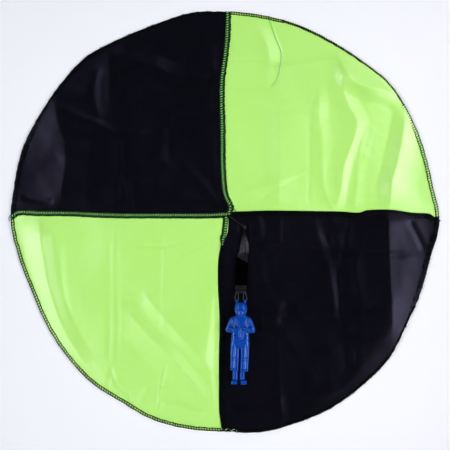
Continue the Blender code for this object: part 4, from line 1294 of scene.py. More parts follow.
    def build_band(self, seam: Seam) -> Object:
        """The allowance of one seam: two layers of cloth folded over to one side, its green part darkened as
        painted shade.
        """
        reach = self.band_reaches(seam)
        profile = ((-0.50, 0.25), (-0.47, 0.75), (-0.40, 1.0), (-0.15, 0.95), (0.15, 1.0), (0.40, 1.0),
                   (0.47, 0.75), (0.50, 0.25))
        wander = self.band_wander * noise(reach * 9, reach * 0, 0.35, 51 + int(seam.value[0]))
        top = np.stack([self.band_places(seam, reach, share, self.band_thickness * high)
                        for share, high in profile], axis=1)
        top[..., :2] += (wander[:, None] * self.band_width * self.seam_frame(seam)[1])[:, None]
        low = self.band_places(seam, reach, 0.0, self.band_gap)[:, None, 2]
        drop = np.zeros_like(top)
        drop[..., 2] = np.maximum(top[..., 2] - low, self.band_edge)
        name = f"{seam.name.lower()}_seam_allowance"
        # The green part wears painted shade; the black part is the panels' own black.
        piece = add_piece(name, slab(name, top, drop), SHADED_GREEN_ALLOWANCE, BLACK_TAFFETA)
        turned = {Seam.RIGHT: -1.0, Seam.FRONT: self.front_turn - 0.005}.get(seam, 2.0)
        count = len(profile)
        row = [min(face.vertices) % (len(reach) * count) // count for face in piece.data.polygons]
        give_slots(piece, reach[row] > turned)
        return piece

    def build_seam_stitches(self, seam: Seam) -> Object:
        """The overlock stitches on one seam's allowance."""
        reach = self.band_reaches(seam)
        name = f"{seam.name.lower()}_seam_stitches"
        runs = []
        parts = ((reach < self.front_turn, -1, OVERLOCK_THREAD), (reach > self.front_turn, 1, DARK_THREAD))
        if seam is not Seam.FRONT:
            left = 1 if seam.value[2][0][1] > 0 else -1
            parts = ((reach > -1, left, DARK_THREAD if seam is Seam.RIGHT else OVERLOCK_THREAD),)
        finishes = []
        for index, (used, left, finish) in enumerate(parts):
            path = self.band_places(seam, reach[used], -0.5 * left, self.band_thickness)
            threads = [(Stitch.OVERLOCK, finish, self.seam_thread)]
            # Green seams also get pale bars that paint the glints between their loops.
            if finish is OVERLOCK_THREAD:
                threads.append((Stitch.GLINT, PALE_GLINT_THREAD, self.glint_thread))
            narrow = self.band_narrowing(seam, reach[used])
            for stitch, look, thread in threads:
                runs.append(sew(f"{name}_{index}", path, stitch, look, self.seam_pitch,
                                self.band_width * left, thread, self.seam_loose, 60 + index, narrow))
                finishes.append(look)
        counts = [len(run.polygons) for run in runs]
        piece = add_piece(name, joined(name, runs), *finishes)
        give_slots(piece, np.repeat(np.arange(len(finishes)), counts))
        return piece

    def build_hem(self, quadrant: Quadrant) -> Object:
        """The overlock stitches that wrap the edge of one quadrant, stretch by stretch."""
        name = f"{quadrant.name}_hem"
        dark = quadrant.cloth is BLACK_TAFFETA
        finish, loose = (DARK_THREAD, self.dark_loose) if dark else (OVERLOCK_THREAD, self.green_loose)
        runs = []
        for index, hem in enumerate(quadrant.hems):
            turn = np.linspace(hem.start, hem.end, max(int(400 * (hem.end - hem.start)), 8))
            path = self.surface(quadrant, np.full_like(turn, self.hem_line), turn)
            path[:, 2] += self.cloth / 2
            runs.append(sew(f"{name}_{index}", path, hem.stitch, finish, hem.pitch * MM, hem.width * MM,
                            hem.thread * MM, loose, 80 + index))
        return add_piece(name, joined(name, runs), finish)

    def build_tack(self) -> Object:
        """The pad of thread over the crossing of the seams."""
        rings = []
        low, high, step, bent = self.tack_rise
        for index, turn in enumerate(np.arange(0, math.pi, math.pi / self.tack_bars)):
            reach = self.tack_radius * self.tack_reaches[index % 2]
            way = np.linspace(-1, 1, 13)
            dome = low + high * (1 - way**2) ** 0.6 + step * (index % 3)
            sway = bent * np.sin(way * 2.4 + index)
            places = np.stack([self.tack_x + way * reach * math.cos(turn) - sway * math.sin(turn),
                               self.tack_y + way * reach * math.sin(turn) + sway * math.cos(turn), dome],
                              axis=1)
            rings.append(sweep(f"tack_{index}", places, *self.tack_thread, 6))
        return add_piece("crown_tack_threads", joined("crown_tack_threads", rings), DARK_THREAD)

    def build_cord(self) -> Object:
        """The crown cord: two strands laid round each other, from the tack to the knot."""
        start = np.array([self.tack_x, self.tack_y, self.cord_start])
        end = np.array(self.cord_end)
        way = np.linspace(0, 1, 160)
        rows = ((0, 0), (0.18, 0.35), (0.36, 0.15), (0.56, -0.30), (0.78, -0.28), (1, 0))
        rise = self.cord_rise * through(rows, way)
        path = start + (end - start) * way[:, None]
        path[:, 2] += rise
        side, up = frames_along(path)
        strands = []
        for phase in (0.0, math.pi):
            turn = (math.tau * self.cord_twists * way + phase)[:, None]
            offset = (side * np.cos(turn) + up * np.sin(turn)) * self.strand_offset
            strands.append(sweep("strand", path + offset, self.strand_radius, self.strand_radius, 7))
        return add_piece("crown_cord_strands", joined("crown_cord_strands", strands), CORD_THREAD)

    def build_thread_ends(self) -> Object:
        """The ends of overlock thread that were left long at the rim and by the crown."""
        ends = []
        for _, radius, run in THREAD_ENDS:
            flat = through_points(np.array(run, float), 8 * len(run)) * MM
            inside = self.radius - np.hypot(*(flat - self.crown).T)
            lift = self.lift(flat, np.full(len(flat), self.thread_calm), np.maximum(inside, 0))
            drape = self.thread_drape * (inside > self.thread_inside)
            height = lift + self.cloth + (radius + self.thread_gap) * MM + drape
            path = np.concatenate([flat, height[:, None]], axis=1)
            ends.append(sweep("thread_end", path, radius * MM, radius * MM, 6))
        counts = [len(end.polygons) for end in ends]
        piece = add_piece("thread_ends", joined("thread_ends", ends), OVERLOCK_THREAD, PALE_GLINT_THREAD)
        give_slots(piece, np.repeat([finish is PALE_GLINT_THREAD for finish, _, _ in THREAD_ENDS], counts))
        return piece

    def build(self) -> None:
        """Builds and hands over every piece of the canopy."""
        for quadrant in QUADRANTS:
            cloth = quadrant.cloth.name.removesuffix("_look")
            panel = hand_over(self.build_panel(quadrant), "canopy", cloth, "panel_" + quadrant.name)
            hem_node = "hem_" + quadrant.name.split("_", 1)[1]
            hem = hand_over(self.build_hem(quadrant), "canopy", "overlock_thread", hem_node)
        for seam in Seam:
            cloth = "black_taffeta" if seam is Seam.RIGHT else "green_taffeta"
            hand_over(self.build_band(seam), "canopy", cloth)
            stitches = self.build_seam_stitches(seam)
            hand_over(stitches, "canopy", "overlock_thread", f"seam_{seam.name.lower()}")
        hand_over(self.build_thread_ends(), "canopy", "overlock_thread")
        hand_over(self.build_tack(), "canopy", "overlock_thread", "crown_tack")
        hand_over(self.build_cord(), "canopy", "black_cord", "crown_cord")


# ----- Ribbon


@dataclass
class Ribbon:
    """The satin ribbon with its knot, its tape wrap and the loops through the lugs."""

    knot: tuple[float, float, float] = (22.1 * MM, -5.8 * MM, 3.5 * MM)
    knot_radius: float = 2.3 * MM
    neck_in: float = 0.4 * MM
    knot_band: tuple[float, float] = (0.85 * MM, 0.42 * MM)
    knot_core: tuple[float, float, float] = (1.5 * MM, 1.7 * MM, 1.3 * MM)
    width: float = 12.6 * MM
    thickness: float = 0.16 * MM
    arch: float = 1.6 * MM
    tilt: float = 0.6 * MM
    curl: float = 1.1 * MM
    pleat: float = 0.30 * MM
    pleats: int = 6
    columns: int = 96
    rows: int = 120
    wrap_width: float = 13.5 * MM
    wrap_height: float = 1.8 * MM
    wrap_wall: float = 0.35 * MM
    wrap_room: float = 0.7 * MM
    wrap_crush: float = 0.22 * MM
    wrap_lap: float = 0.16 * MM
    wrap_middle: float = 3.0 * MM
    wrap_left_top: float = -38.5 * MM
    wrap_right_top: float = -45.9 * MM
    wrap_end: float = -70.6 * MM
    wrap_x: tuple[float, float] = (19.4 * MM, 18.2 * MM)
    tail_y: float = -79.4 * MM
    tail_x: float = 18.0 * MM
    tail_z: tuple[float, float] = (4.6 * MM, LUG_Z - 0.2 * MM)
    tail_width: float = 11.4 * MM
    cord_radius: float = 0.45 * MM
    loop_room: float = 1.4 * MM
    loop_shift: float = 0.5 * MM
    tie_middle: tuple[float, float, float] = (18.2 * MM, -73.6 * MM, 4.0 * MM)
    tie_half: tuple[float, float, float] = (5.9 * MM, 0.35 * MM, 1.15 * MM)
    tie_end: Rows = ((12.4, -74.3, 4.2), (11.3, -74.4, 4.4), (10.3, -74.1, 4.3))
    tie_radius: float = 0.22 * MM

    def stations(self) -> Rows:
        """The ribbon's way down: Y, X, Z, half width, height of the pleats and height of the arch."""
        neck = self.knot[1] - self.knot_radius + self.neck_in
        leaf = (
            (0.00, 0.09, 0.000, 1.00, 0.4), (0.08, 0.10, 0.000, 1.00, 0.6),
            (0.18, 0.14, -0.010, 0.90, 0.9), (0.32, 0.23, -0.014, 0.70, 1.0),
            (0.48, 0.33, -0.008, 0.50, 1.0), (0.66, 0.40, -0.013, 0.36, 0.8),
            (0.84, 0.45, -0.040, 0.24, 0.5),
        )
        rows = []
        for way, half, drift, pleat, arch in leaf:
            y = neck + (self.wrap_left_top - neck) * way
            z = self.knot[2] + (self.wrap_middle - self.knot[2]) * float(ease(way))
            rows.append((y, self.knot[0] + drift * self.width, z, half * self.width, pleat, arch))
        half = self.wrap_width / 2 - self.wrap_room
        rows.append((self.wrap_left_top, self.wrap_x[0], self.wrap_middle, half, 0.06, 0.0))
        rows.append((self.wrap_end, self.wrap_x[1], self.wrap_middle, half, 0.06, 0.0))
        middle = (self.wrap_end + self.tail_y) / 2
        rows.append((middle, (self.wrap_x[1] + self.tail_x) / 2, self.tail_z[0], half, 0.30, 0.25))
        rows.append((self.tail_y, self.tail_x, self.tail_z[1], self.tail_width / 2, 0.42, 0.2))
        return rows

    def build_ribbon(self) -> Object:
        """The satin: pinched at the knot, spread into a leaf, flat in the wrap and drawn in at the lugs."""
        order, *columns = np.array(self.stations()).T
        down = np.linspace(-order[0], -order[-1], self.rows)
        x, z, half, pleat, arch = (through(list(zip(-order, column)), down)[:, None] for column in columns)
        across = np.linspace(-1, 1, self.columns + 1)[None]
        warp = across + 0.10 * np.sin(across * 3.1 + down[:, None] * 60) + 0.04 * np.sin(across * 9 + 1.3)
        deep = pleat * self.pleat
        height = deep * np.cos(self.pleats * math.pi * warp)
        height = height + 0.35 * deep * np.cos(2.6 * self.pleats * math.pi * warp + 1.1)
        curl = self.curl * np.clip((across - 0.66) / 0.34, 0, 1) ** 1.5
        height = height + arch * (self.arch * (1 - across**2) - self.tilt * across + curl)
        y = np.broadcast_to(-down[:, None], height.shape)
        top = np.stack([x + across * half, y, z + height + self.thickness / 2], axis=-1)
        return add_piece("satin_ribbon", slab("satin_ribbon", top, self.thickness), RIBBON_SATIN)

    def build_knot(self) -> Object:
        """The knot: the ribbon's band drawn tight round itself, over a core of its layers."""
        turn = np.linspace(0, math.tau, 140, endpoint=False)
        scale = (self.knot_radius - 0.5 * MM) / 3.0
        ring = np.stack([np.sin(turn) + 2 * np.sin(2 * turn), np.cos(turn) - 2 * np.cos(2 * turn),
                         -1.7 * np.sin(3 * turn)], axis=1) * scale
        band = sweep("knot_band", ring + np.array(self.knot), *self.knot_band, 10, closed=True)
        angle = np.linspace(0, math.pi, 14)
        half, reach, high = self.knot_core
        core_path = np.outer(np.cos(angle), (0, reach, 0)) + np.array(self.knot)
        girth = np.maximum(np.sin(angle), 0.05)
        core = sweep("knot_core", core_path, girth * half, girth * high, 16)
        mesh = joined("satin_knot", [band, core])
        add_uv(mesh, places_of(mesh)[:, :2] * (60, 20))
        return add_piece("satin_knot", mesh, RIBBON_SATIN)

    def build_wrap(self) -> Object:
        """The tape wrap: a flattened sleeve with a slanted mouth, lapped along its right side."""
        sides, rows = 56, 60
        turn = np.linspace(0, math.tau, sides, endpoint=False) + 0.03
        bulge, rise = squared(np.cos(turn), 0.7), squared(np.sin(turn), 0.35)
        top = self.wrap_left_top + (self.wrap_right_top - self.wrap_left_top) * (bulge + 1) / 2
        down = np.linspace(0, 1, rows)[:, None]
        y = top + (self.wrap_end - top) * down
        middle = self.wrap_x[0] + (self.wrap_x[1] - self.wrap_x[0]) * down
        crush = self.wrap_crush * noise(bulge * 9 * MM + down * 0, y, 6 * MM, 71) * (rise > 0)
        lap = self.wrap_lap * (np.abs(bulge - 0.45) < 0.22) * (rise > 0)
        walls = []
        for inset in (0.0, self.wrap_wall):
            x = middle + bulge * (self.wrap_width / 2 - inset)
            z = self.wrap_middle + rise * (self.wrap_height / 2 - inset) + crush + lap
            walls.append(np.stack([x, y + 0 * x, z], axis=-1))
        places = np.concatenate([walls[0].reshape(-1, 3), walls[1].reshape(-1, 3)])
        outer = grid_faces(rows, sides, wrap=True)[:, ::-1]
        count = rows * sides
        inner = outer[:, ::-1] + count
        first, last = np.arange(sides), np.arange(count - sides, count)
        mouth = np.stack([np.roll(first, -1), first, first + count, np.roll(first, -1) + count], axis=1)
        end = np.stack([last, np.roll(last, -1), np.roll(last, -1) + count, last + count], axis=1)
        mesh = new_mesh("tape_wrap", places, np.concatenate([outer, inner, mouth, end]))
        return add_piece("tape_wrap", mesh, WRAP_TAPE)

    def build_loop(self, side: float) -> Object:
        """A hairpin of cord through one lug, with both its ends in the ribbon's tail."""
        middle = self.tail_x + side * LUG_SPACING / 2
        out = self.cord_radius + self.loop_room
        inward = -side * self.loop_shift
        half = [(inward, 0.55, self.tail_y + 2.0 * MM, -0.3), (inward / 2, 0.8, self.tail_y - 1.5 * MM, 0.2),
                (0, 1, (self.tail_y + LUG_Y) / 2, 0), (0, 1, LUG_Y + 0.6 * MM, 0),
                (0, 0.8, LUG_Y - 0.02 * MM, 0), (0, 0, LUG_Y - 0.05 * MM, 0)]
        sides = ((-1, half), (1, half[-2::-1]))
        way = [(middle + shift + hand * out * share, y, LUG_Z + rise * MM)
               for hand, rows in sides for shift, share, y, rise in rows]
        path = through_points(way, 90)
        name = f"lug_cord_{'right' if side > 0 else 'left'}"
        mesh = sweep(name, path, self.cord_radius, self.cord_radius, 12, upward=(0, 0.05, 1))
        return add_piece(name, mesh, CORD_THREAD)

    def build_tie(self) -> Object:
        """The thread that ties the tail, with its end standing out on the left."""
        turn = np.linspace(0, 2 * math.tau, 60)
        x, y, z = (middle + half * wave for middle, half, wave
                   in zip(self.tie_middle, self.tie_half, (np.cos(turn), -turn / math.tau, np.sin(turn))))
        ring = np.stack([x, y, z], axis=1)
        path = np.concatenate([ring, through_points(np.array(self.tie_end) * MM, 10)])
        mesh = sweep("tail_tie", path, self.tie_radius, self.tie_radius, 6, upward=(0.1, 1, 0.2))
        return add_piece("tail_tie", mesh, CORD_THREAD)

    def build(self) -> None:
        """Builds and hands over every piece of the ribbon."""
        knot = hand_over(self.build_knot(), "ribbon", "black_satin", "ribbon_knot")
        satin = hand_over(self.build_ribbon(), "ribbon", "black_satin", "ribbon")
        wrap = hand_over(self.build_wrap(), "ribbon", "black_tape", "ribbon_wrap")
        loops = [hand_over(self.build_loop(side), "ribbon", "black_cord", f"lug_loop_{name}")
                 for side, name in ((-1.0, "left"), (1.0, "right"))]
        tie = hand_over(self.build_tie(), "ribbon", "black_cord")


# ----- Figure


@dataclass(frozen=True)
class Form:
    """A rounded form of the figure.

    Its stations are across, down from the lugs, forward from the back, half width and half depth, in
    thousandths of the figure's height. A roundness of two is an ellipse, and more is squarer.
    """

    stations: Rows
    roundness: float = 2.3
    upward: tuple[float, float, float] = (0, 0, 1)


@dataclass(frozen=True)
class Stroke:
    """A groove or ridge worked into the figure's front, in thousandths of its height."""

    depth: float
    width: float
    run: Plane


FORMS = (
    Form(((3, 178, 66, 45, 39), (3, 203, 66, 86, 48), (3, 231, 65, 109, 56), (2, 294, 65, 107, 60),
          (0, 357, 64, 101, 59), (0, 409, 64, 102, 59), (-1, 462, 64, 106, 62),
          (-1, 478, 64, 108, 63)), 3.3),
    Form(((-1, 450, 62, 98, 56), (-3, 490, 61, 107, 58), (-4, 530, 60, 113, 57), (-6, 555, 59, 108, 53),
          (-7, 570, 58, 86, 46)), 3.3),
    Form(((-62, 545, 58, 50, 48), (-66, 600, 58, 51, 49), (-67, 700, 57, 50, 46), (-70, 790, 56, 48, 45),
          (-71, 818, 56, 50, 48), (-71, 830, 56, 46, 44)), 4.4),
    Form(((49, 545, 58, 50, 48), (52, 600, 58, 51, 49), (50, 700, 57, 49, 46), (45, 800, 56, 47, 45),
          (44, 834, 56, 50, 48), (44, 846, 56, 46, 44)), 4.4),
    Form(((-62, 815, 52, 34, 40), (-60, 870, 50, 33, 37), (-59, 920, 50, 34, 40), (-60, 955, 48, 36, 43),
          (-60, 966, 48, 34, 41))),
    Form(((24, 830, 52, 32, 40), (22, 870, 50, 31, 37), (22, 920, 50, 32, 40), (23, 955, 48, 34, 43),
          (23, 966, 48, 32, 41))),
    Form(((-60, 970, 6, 24, 24), (-60, 968, 16, 33, 31), (-64, 966, 60, 35, 33), (-72, 966, 105, 36, 27),
          (-79, 965, 138, 33, 22), (-82, 965, 150, 22, 14)), 2.4, (0, 1, 0)),
    Form(((23, 970, 6, 24, 24), (23, 968, 16, 31, 31), (27, 966, 60, 34, 33), (34, 966, 105, 36, 27),
          (40, 965, 138, 33, 22), (42, 965, 150, 22, 14)), 2.4, (0, 1, 0)),
    Form(((-60, 990, 10, 27, 7), (-61, 990, 30, 35, 7), (-65, 989, 70, 35, 7), (-73, 987, 110, 38, 7),
          (-80, 983, 141, 32, 7), (-82, 980, 150, 20, 6)), 3.0, (0, 1, 0)),
    Form(((23, 990, 10, 27, 7), (24, 990, 30, 34, 7), (28, 989, 70, 35, 7), (35, 987, 110, 38, 7),
          (41, 983, 141, 32, 7), (42, 980, 150, 20, 6)), 3.0, (0, 1, 0)),
    Form(((-82, 213, 64, 20, 26), (-92, 236, 63, 33, 38), (-112, 286, 60, 36, 41), (-134, 340, 57, 35, 39),
          (-146, 371, 57, 29, 33), (-149, 386, 57, 14, 18))),
    Form(((-148, 364, 52, 18, 20), (-134, 361, 63, 30, 30), (-104, 358, 88, 31, 30), (-78, 353, 108, 29, 28),
          (-71, 352, 113, 22, 21), (-60, 351, 120, 23, 21), (-45, 345, 127, 27, 24), (-24, 338, 129, 22, 19),
          (-14, 335, 128, 10, 10))),
    Form(((86, 213, 64, 20, 26), (98, 240, 63, 33, 38), (118, 292, 60, 36, 41), (138, 347, 57, 35, 39),
          (148, 381, 57, 29, 33), (151, 396, 57, 14, 18))),
    Form(((150, 374, 52, 18, 20), (136, 369, 63, 30, 30), (106, 361, 88, 31, 30), (82, 351, 108, 29, 28),
          (75, 349, 113, 22, 21), (64, 346, 120, 23, 21), (48, 336, 127, 27, 24), (28, 326, 129, 22, 19),
          (18, 322, 128, 10, 10))),
    Form(((5, 170, 66, 36, 36), (4, 215, 65, 42, 38))),
    Form(((4, 196, 66, 40, 36), (4, 204, 67, 52, 44), (4, 216, 67, 62, 49), (4, 224, 66, 56, 44)), 2.2),
    Form(((6, 100, 74, 50, 54), (6, 130, 75, 56, 59), (6, 160, 76, 53, 57), (6, 187, 78, 43, 51),
          (6, 206, 81, 29, 40), (6, 213, 83, 15, 24)), 2.1),
    Form(((6, 134, 129, 4, 6), (6, 150, 134, 6, 7), (6, 162, 137, 10, 9), (6, 169, 131, 7, 5)), 2.0),
    Form(((6, 34, 71, 18, 17), (6, 42, 71, 42, 39), (6, 62, 71, 63, 59), (6, 90, 71, 71, 66),
          (6, 110, 71, 73, 68), (6, 118, 71, 76.5, 71), (6, 126, 71, 76.5, 71), (6, 129, 71, 66, 62)), 2.1),
    Form(((65, 110, 66, 10, 26), (64, 140, 68, 11, 26), (58, 168, 74, 9, 20), (53, 180, 80, 5, 10))),
    Form(((-53, 110, 66, 10, 26), (-52, 140, 68, 11, 26), (-46, 168, 74, 9, 20), (-41, 180, 80, 5, 10))),
    Form(((-50, 196, 96, 9, 7), (-46, 220, 116, 9, 7), (-30, 285, 125, 9, 7), (-14, 345, 124, 9, 7),
          (-13, 415, 124, 9, 7), (-13, 440, 121, 9, 5)), 3.2),
    Form(((66, 200, 92, 9, 7), (60, 230, 115, 9, 7), (46, 290, 124, 9, 7), (30, 345, 125, 9, 7),
          (29, 415, 124, 9, 7), (29, 440, 121, 9, 5)), 3.2),
    Form(((-1, 446, 64, 105, 61), (-1, 450, 64, 108, 64), (-1, 462, 64, 109, 64),
          (-1, 466, 64, 105, 61)), 2.6),
    Form(((6, 444, 124, 14, 6), (6, 447, 125, 18, 8), (6, 465, 125, 18, 8), (6, 468, 124, 14, 6)), 3.4),
)

STROKES = (
    # Face: sockets, eyes, brow, cheeks, lips and chin
    Stroke(-5, 11, ((-13, 146), (-10, 146))),
    Stroke(-5, 11, ((22, 146), (25, 146))),
    Stroke(3.6, 6, ((-13, 147), (-10, 147))),
    Stroke(3.6, 6, ((22, 147), (25, 147))),
    Stroke(2.2, 8, ((-19, 136), (31, 136))),
    Stroke(-3.2, 4.5, ((-6, 184), (18, 184))),
    Stroke(1.8, 5, ((-4, 179), (16, 179))),
    Stroke(2, 6, ((-2, 190), (14, 190))),
    Stroke(2, 9, ((2, 203), (10, 203))),
    # Jacket: front fastening, waist and chest creases
    Stroke(-3, 4.5, ((6, 228), (6, 445))),
    Stroke(-3, 7, ((-88, 424), (-60, 416), (-34, 420))),
    Stroke(-3, 7, ((90, 428), (66, 416), (44, 424))),
    Stroke(-2.2, 7, ((-80, 300), (-55, 310), (-40, 330))),
    Stroke(-2.2, 7, ((82, 300), (66, 312), (56, 326))),
    Stroke(2, 12, ((-66, 250), (-52, 300))),
    Stroke(2, 12, ((78, 252), (68, 300))),
    # Armholes and elbow creases
    Stroke(-4, 8, ((-78, 215), (-80, 250), (-86, 300), (-94, 334))),
    Stroke(-4, 8, ((86, 215), (88, 250), (92, 300), (98, 334))),
    Stroke(-3.2, 8, ((-146, 318), (-124, 326), (-106, 318))),
    Stroke(-3.2, 8, ((-158, 350), (-132, 350), (-114, 338))),
    Stroke(-3.2, 8, ((150, 322), (128, 330), (110, 322))),
    Stroke(-3.2, 8, ((160, 356), (136, 356), (118, 342))),
    Stroke(-2.2, 6, ((-128, 270), (-104, 278))),
    Stroke(-2.2, 6, ((132, 276), (108, 284))),
    # Fingers
    *(Stroke(-2.8, 3.5, ((x, 326), (x + 2, 362))) for x in (-52, -42, -32, -22)),
    *(Stroke(-2.8, 3.5, ((x, 316), (x - 2, 352))) for x in (56, 46, 36, 26)),
    # Trousers: fly, pressed front creases, hip, knee and cuff folds
    Stroke(-3, 4.5, ((-2, 482), (-6, 570))),
    Stroke(6, 16, ((-60, 530), (-72, 640), (-75, 730), (-74, 820))),
    Stroke(6, 16, ((50, 530), (58, 640), (54, 730), (48, 830))),
    Stroke(-3.5, 8, ((-12, 562), (-45, 548), (-80, 552))),
    Stroke(-3.5, 8, ((4, 562), (36, 548), (72, 552))),
    Stroke(-3, 8, ((-112, 672), (-84, 684), (-50, 676))),
    Stroke(-3, 8, ((-110, 712), (-82, 706), (-46, 716))),
    Stroke(-3, 8, ((10, 676), (40, 690), (90, 680))),
    Stroke(-3, 8, ((8, 722), (40, 714), (86, 724))),
    Stroke(-3.5, 7, ((-114, 800), (-74, 808), (-32, 800))),
    Stroke(-3.5, 7, ((6, 816), (44, 824), (86, 814))),
    # Boots: tongue, laces and the toe cap's edge
    *(Stroke(-2.4, 3.5, ((-80, y), (-40, y + 4))) for y in (862, 880, 898, 916)),
    *(Stroke(-2.4, 3.5, ((4, y + 4), (42, y))) for y in (862, 880, 898, 916)),
)


@dataclass
class Figure:
    """The moulded figure, in one piece with the two lugs on its helmet."""

    height: float = 95.3 * MM
    x: float = 17.4 * MM
    top_y: float = -86.2 * MM
    lie: float = 2.1 * MM
    sides: int = 40
    steps: int = 6
    voxel: float = 0.32 * MM
    lug_middle: float = 18.0 * MM
    lug_width: float = 2.2 * MM
    lug_radius: float = 2.0 * MM
    lug_bore: float = 0.8 * MM
    lug_root: Rows = ((1.5, 6.2), (1.1, 1.7), (1.9, 2.6))
    hollow: float = 0.35 * MM
    front_from: float = 0.05
    front_swing: float = 0.45
    stroke_over: float = 0.12

    def place(self, across: Array, down: Array, forward: Array) -> Array:
        """Places on the figure from shares of its height."""
        return np.stack([self.x + across * self.height, self.top_y - down * self.height,
                         self.lie + forward * self.height], axis=-1)

    def loft(self, form: Form) -> Mesh:
        """A closed form along its stations."""
        stations = np.array(form.stations) / 1000
        fine = through_points(stations, (len(stations) - 1) * self.steps + 1)
        middles = self.place(*fine[:, :3].T)
        halves = fine[:, 3:].T * self.height
        return sweep("form", middles, *halves, self.sides, form.upward, roundness=form.roundness)

    def lug(self, x: float) -> Mesh:
        """A bored lug: an eye on a root that runs into the helmet."""
        around = np.linspace(0, math.tau, 28, endpoint=False)
        middle, wall = ((self.lug_radius + sign * self.lug_bore) / 2 for sign in (1, -1))
        y, z = LUG_Y + middle * np.sin(around), LUG_Z + middle * np.cos(around)
        path = np.stack([np.full(28, x), y, z], axis=1)
        eye = sweep("eye", path, wall, self.lug_width / 2, 12, (1, 0, 0), closed=True, roundness=4)
        down, half, high = (np.linspace(first, last, 8) * MM for first, last in self.lug_root)
        path = np.stack([np.full(8, x), LUG_Y - down, np.full(8, LUG_Z)], axis=1)
        root = sweep("root", path, half, high, 20)
        return joined("lug", [eye, root])

    def moulding(self) -> Mesh:
        """All forms melted into one skin."""
        meshes = [self.loft(form) for form in FORMS]
        meshes += [self.lug(self.lug_middle + side * LUG_SPACING / 2) for side in (-1, 1)]
        mesh = joined("figure_forms", meshes)
        correct_normals(mesh)
        return grown(mesh, ("REMESH", {"mode": "VOXEL", "voxel_size": self.voxel}),
                     ("SMOOTH", {"factor": 0.5, "iterations": 3}))

    def carve(self, mesh: Mesh) -> None:
        """Works the strokes into the front of the skin and keeps the hollows' depth on its vertices, as the
        amount of painted shade there.
        """
        places = places_of(mesh)
        normals = np.empty(places.size, np.float32)
        mesh.vertex_normals.foreach_get("vector", normals)
        normals = normals.reshape(-1, 3)
        across = (places[:, 0] - self.x) / self.height
        down = (self.top_y - places[:, 1]) / self.height
        front = ease((normals[:, 2] - self.front_from) / self.front_swing)
        moved, over = np.zeros(len(places)), self.stroke_over
        for stroke in STROKES:
            away, _, along = beside_run(across, down, np.array(stroke.run) / 1000)
            ends = ease((along + over) / (2 * over)) * ease((1 + over - along) / (2 * over))
            moved += stroke.depth / 1000 * np.exp(-((away / (stroke.width / 1000)) ** 2) * 2.2) * ends
        moved *= front * self.height
        places += normals * moved[:, None]
        mesh.vertices.foreach_set("co", places.ravel())
        keep_on_places(mesh, "hollow", np.clip(-moved / self.hollow, 0, 1))
        mesh.update()
        mesh.shade_smooth()

    def build(self) -> None:
        """Builds and hands over the figure."""
        mesh = self.moulding()
        self.carve(mesh)
        hand_over(add_piece("moulded_figure", mesh, BLUE_PLASTIC), "figure", "blue_plastic", "figure")


def correct_normals(mesh: Mesh) -> None:
    """Turns every closed part of a mesh to face outwards."""
    bm = bmesh.new()
    bm.from_mesh(mesh)
    bmesh.ops.recalc_face_normals(bm, faces=bm.faces[:])
    bm.to_mesh(mesh)
    bm.free()


# ----- Studio


@dataclass(frozen=True)
class Lamp:
    """A soft lamp with a grid, which keeps its light near the place that it looks at.

    Its share is about the brightness that it alone gives a white floor there.
    """

    name: str
    azimuth: float
    off_vertical: float
    distance: float
    size: tuple[float, float]
    share: float
    colour: Colour
    aim_x: float = 0.0
    spread: float = 179.0

    def build(self) -> None:
        """Builds the lamp, as strong as its share asks for."""
        tilt, turn = math.radians(self.off_vertical), math.radians(self.azimuth)
        half = math.radians(self.spread) / 2
        gathered = math.tan(half) / (math.tan(half) - half)
        way = Vector((math.sin(tilt) * math.cos(turn), math.sin(tilt) * math.sin(turn), math.cos(tilt)))
        data = bpy.data.lights.new(self.name, "AREA")
        data.shape = "RECTANGLE"
        data.size, data.size_y = self.size
        data.energy = self.share * math.pi**2 * self.distance**2 / math.cos(tilt) / gathered
        data.spread = half * 2
        data.color = self.colour
        lamp = bpy.data.objects.new(self.name, data)
        lamp.location = way * self.distance + Vector((self.aim_x, 0, 0))
        lamp.rotation_euler = (-way).to_track_quat("-Z", "Y").to_euler()
        bpy.context.scene.collection.objects.link(lamp)


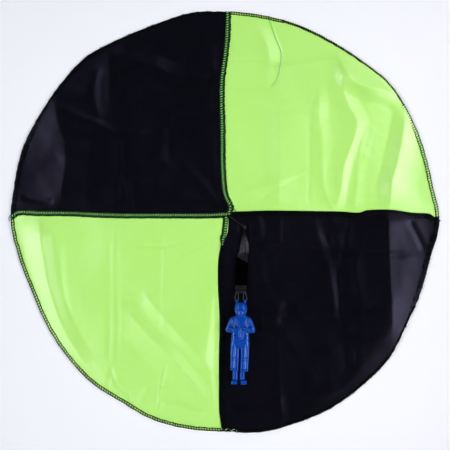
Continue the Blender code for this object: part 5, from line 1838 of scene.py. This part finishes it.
LAMPS = (
    Lamp("key", -5, 46, 1.0, (1.2, 0.3), 1.54, (1.0, 0.995, 0.985), 0.13, 56),
    Lamp("left_fill", 184, 46, 1.0, (1.2, 0.3), 1.38, (0.96, 0.97, 1.0), -0.13, 56),
    Lamp("back_fill", 50, 54, 1.7, (0.8, 0.6), 0.07, (0.97, 0.98, 1.0)),
    Lamp("front_fill", 268, 60, 2.6, (1.8, 0.8), 0.06, (1.0, 1.0, 1.0)),
)


@dataclass
class Studio:
    """The floor, the lamps and the camera straight above."""

    floor_size: float = 40.0
    camera_height: float = 1.5
    camera_x: float = 0.2 * MM
    camera_y: float = -3.1 * MM
    seen_width: float = 505.8 * MM
    sensor: float = 36.0
    world: float = 0.09

    def build_floor(self) -> None:
        """The pale floor."""
        half = self.floor_size / 2
        corners = [(-half, -half, 0), (half, -half, 0), (half, half, 0), (-half, half, 0)]
        mesh = new_mesh("floor", np.array(corners) + np.array([0, 0, -0.05 * MM]), [(0, 1, 2, 3)])
        add_piece("floor", mesh, PALE_FLOOR)

    def build_light(self) -> None:
        """The world's dim even light, and the soft lamps round the toy."""
        world = bpy.data.worlds.new("studio")
        graph = fresh_graph(world)
        glow = graph.add("ShaderNodeBackground", inputs={"Color": (0.97, 0.98, 1.0), "Strength": self.world})
        graph.add("ShaderNodeOutputWorld", inputs={"Surface": glow})
        bpy.context.scene.world = world
        for lamp in LAMPS:
            lamp.build()

    def build_camera(self) -> None:
        """The camera straight above, with the photograph's frame."""
        data = bpy.data.cameras.new("camera")
        data.sensor_fit = "HORIZONTAL"
        data.sensor_width = self.sensor
        data.lens = self.sensor * self.camera_height / self.seen_width
        camera = bpy.data.objects.new("camera", data)
        camera.location = (self.camera_x, self.camera_y, self.camera_height)
        bpy.context.scene.collection.objects.link(camera)
        bpy.context.scene.camera = camera

    def build(self) -> None:
        """Builds the whole studio."""
        self.build_floor()
        self.build_light()
        self.build_camera()
        bpy.context.scene.view_settings.view_transform = "Standard"


def main() -> None:
    """Builds the toy and its studio in order."""
    logging.basicConfig(level=logging.INFO, format="%(message)s")
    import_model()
    Canopy().build()
    Ribbon().build()
    Figure().build()
    Studio().build()


if __name__ == "__main__":
    main()
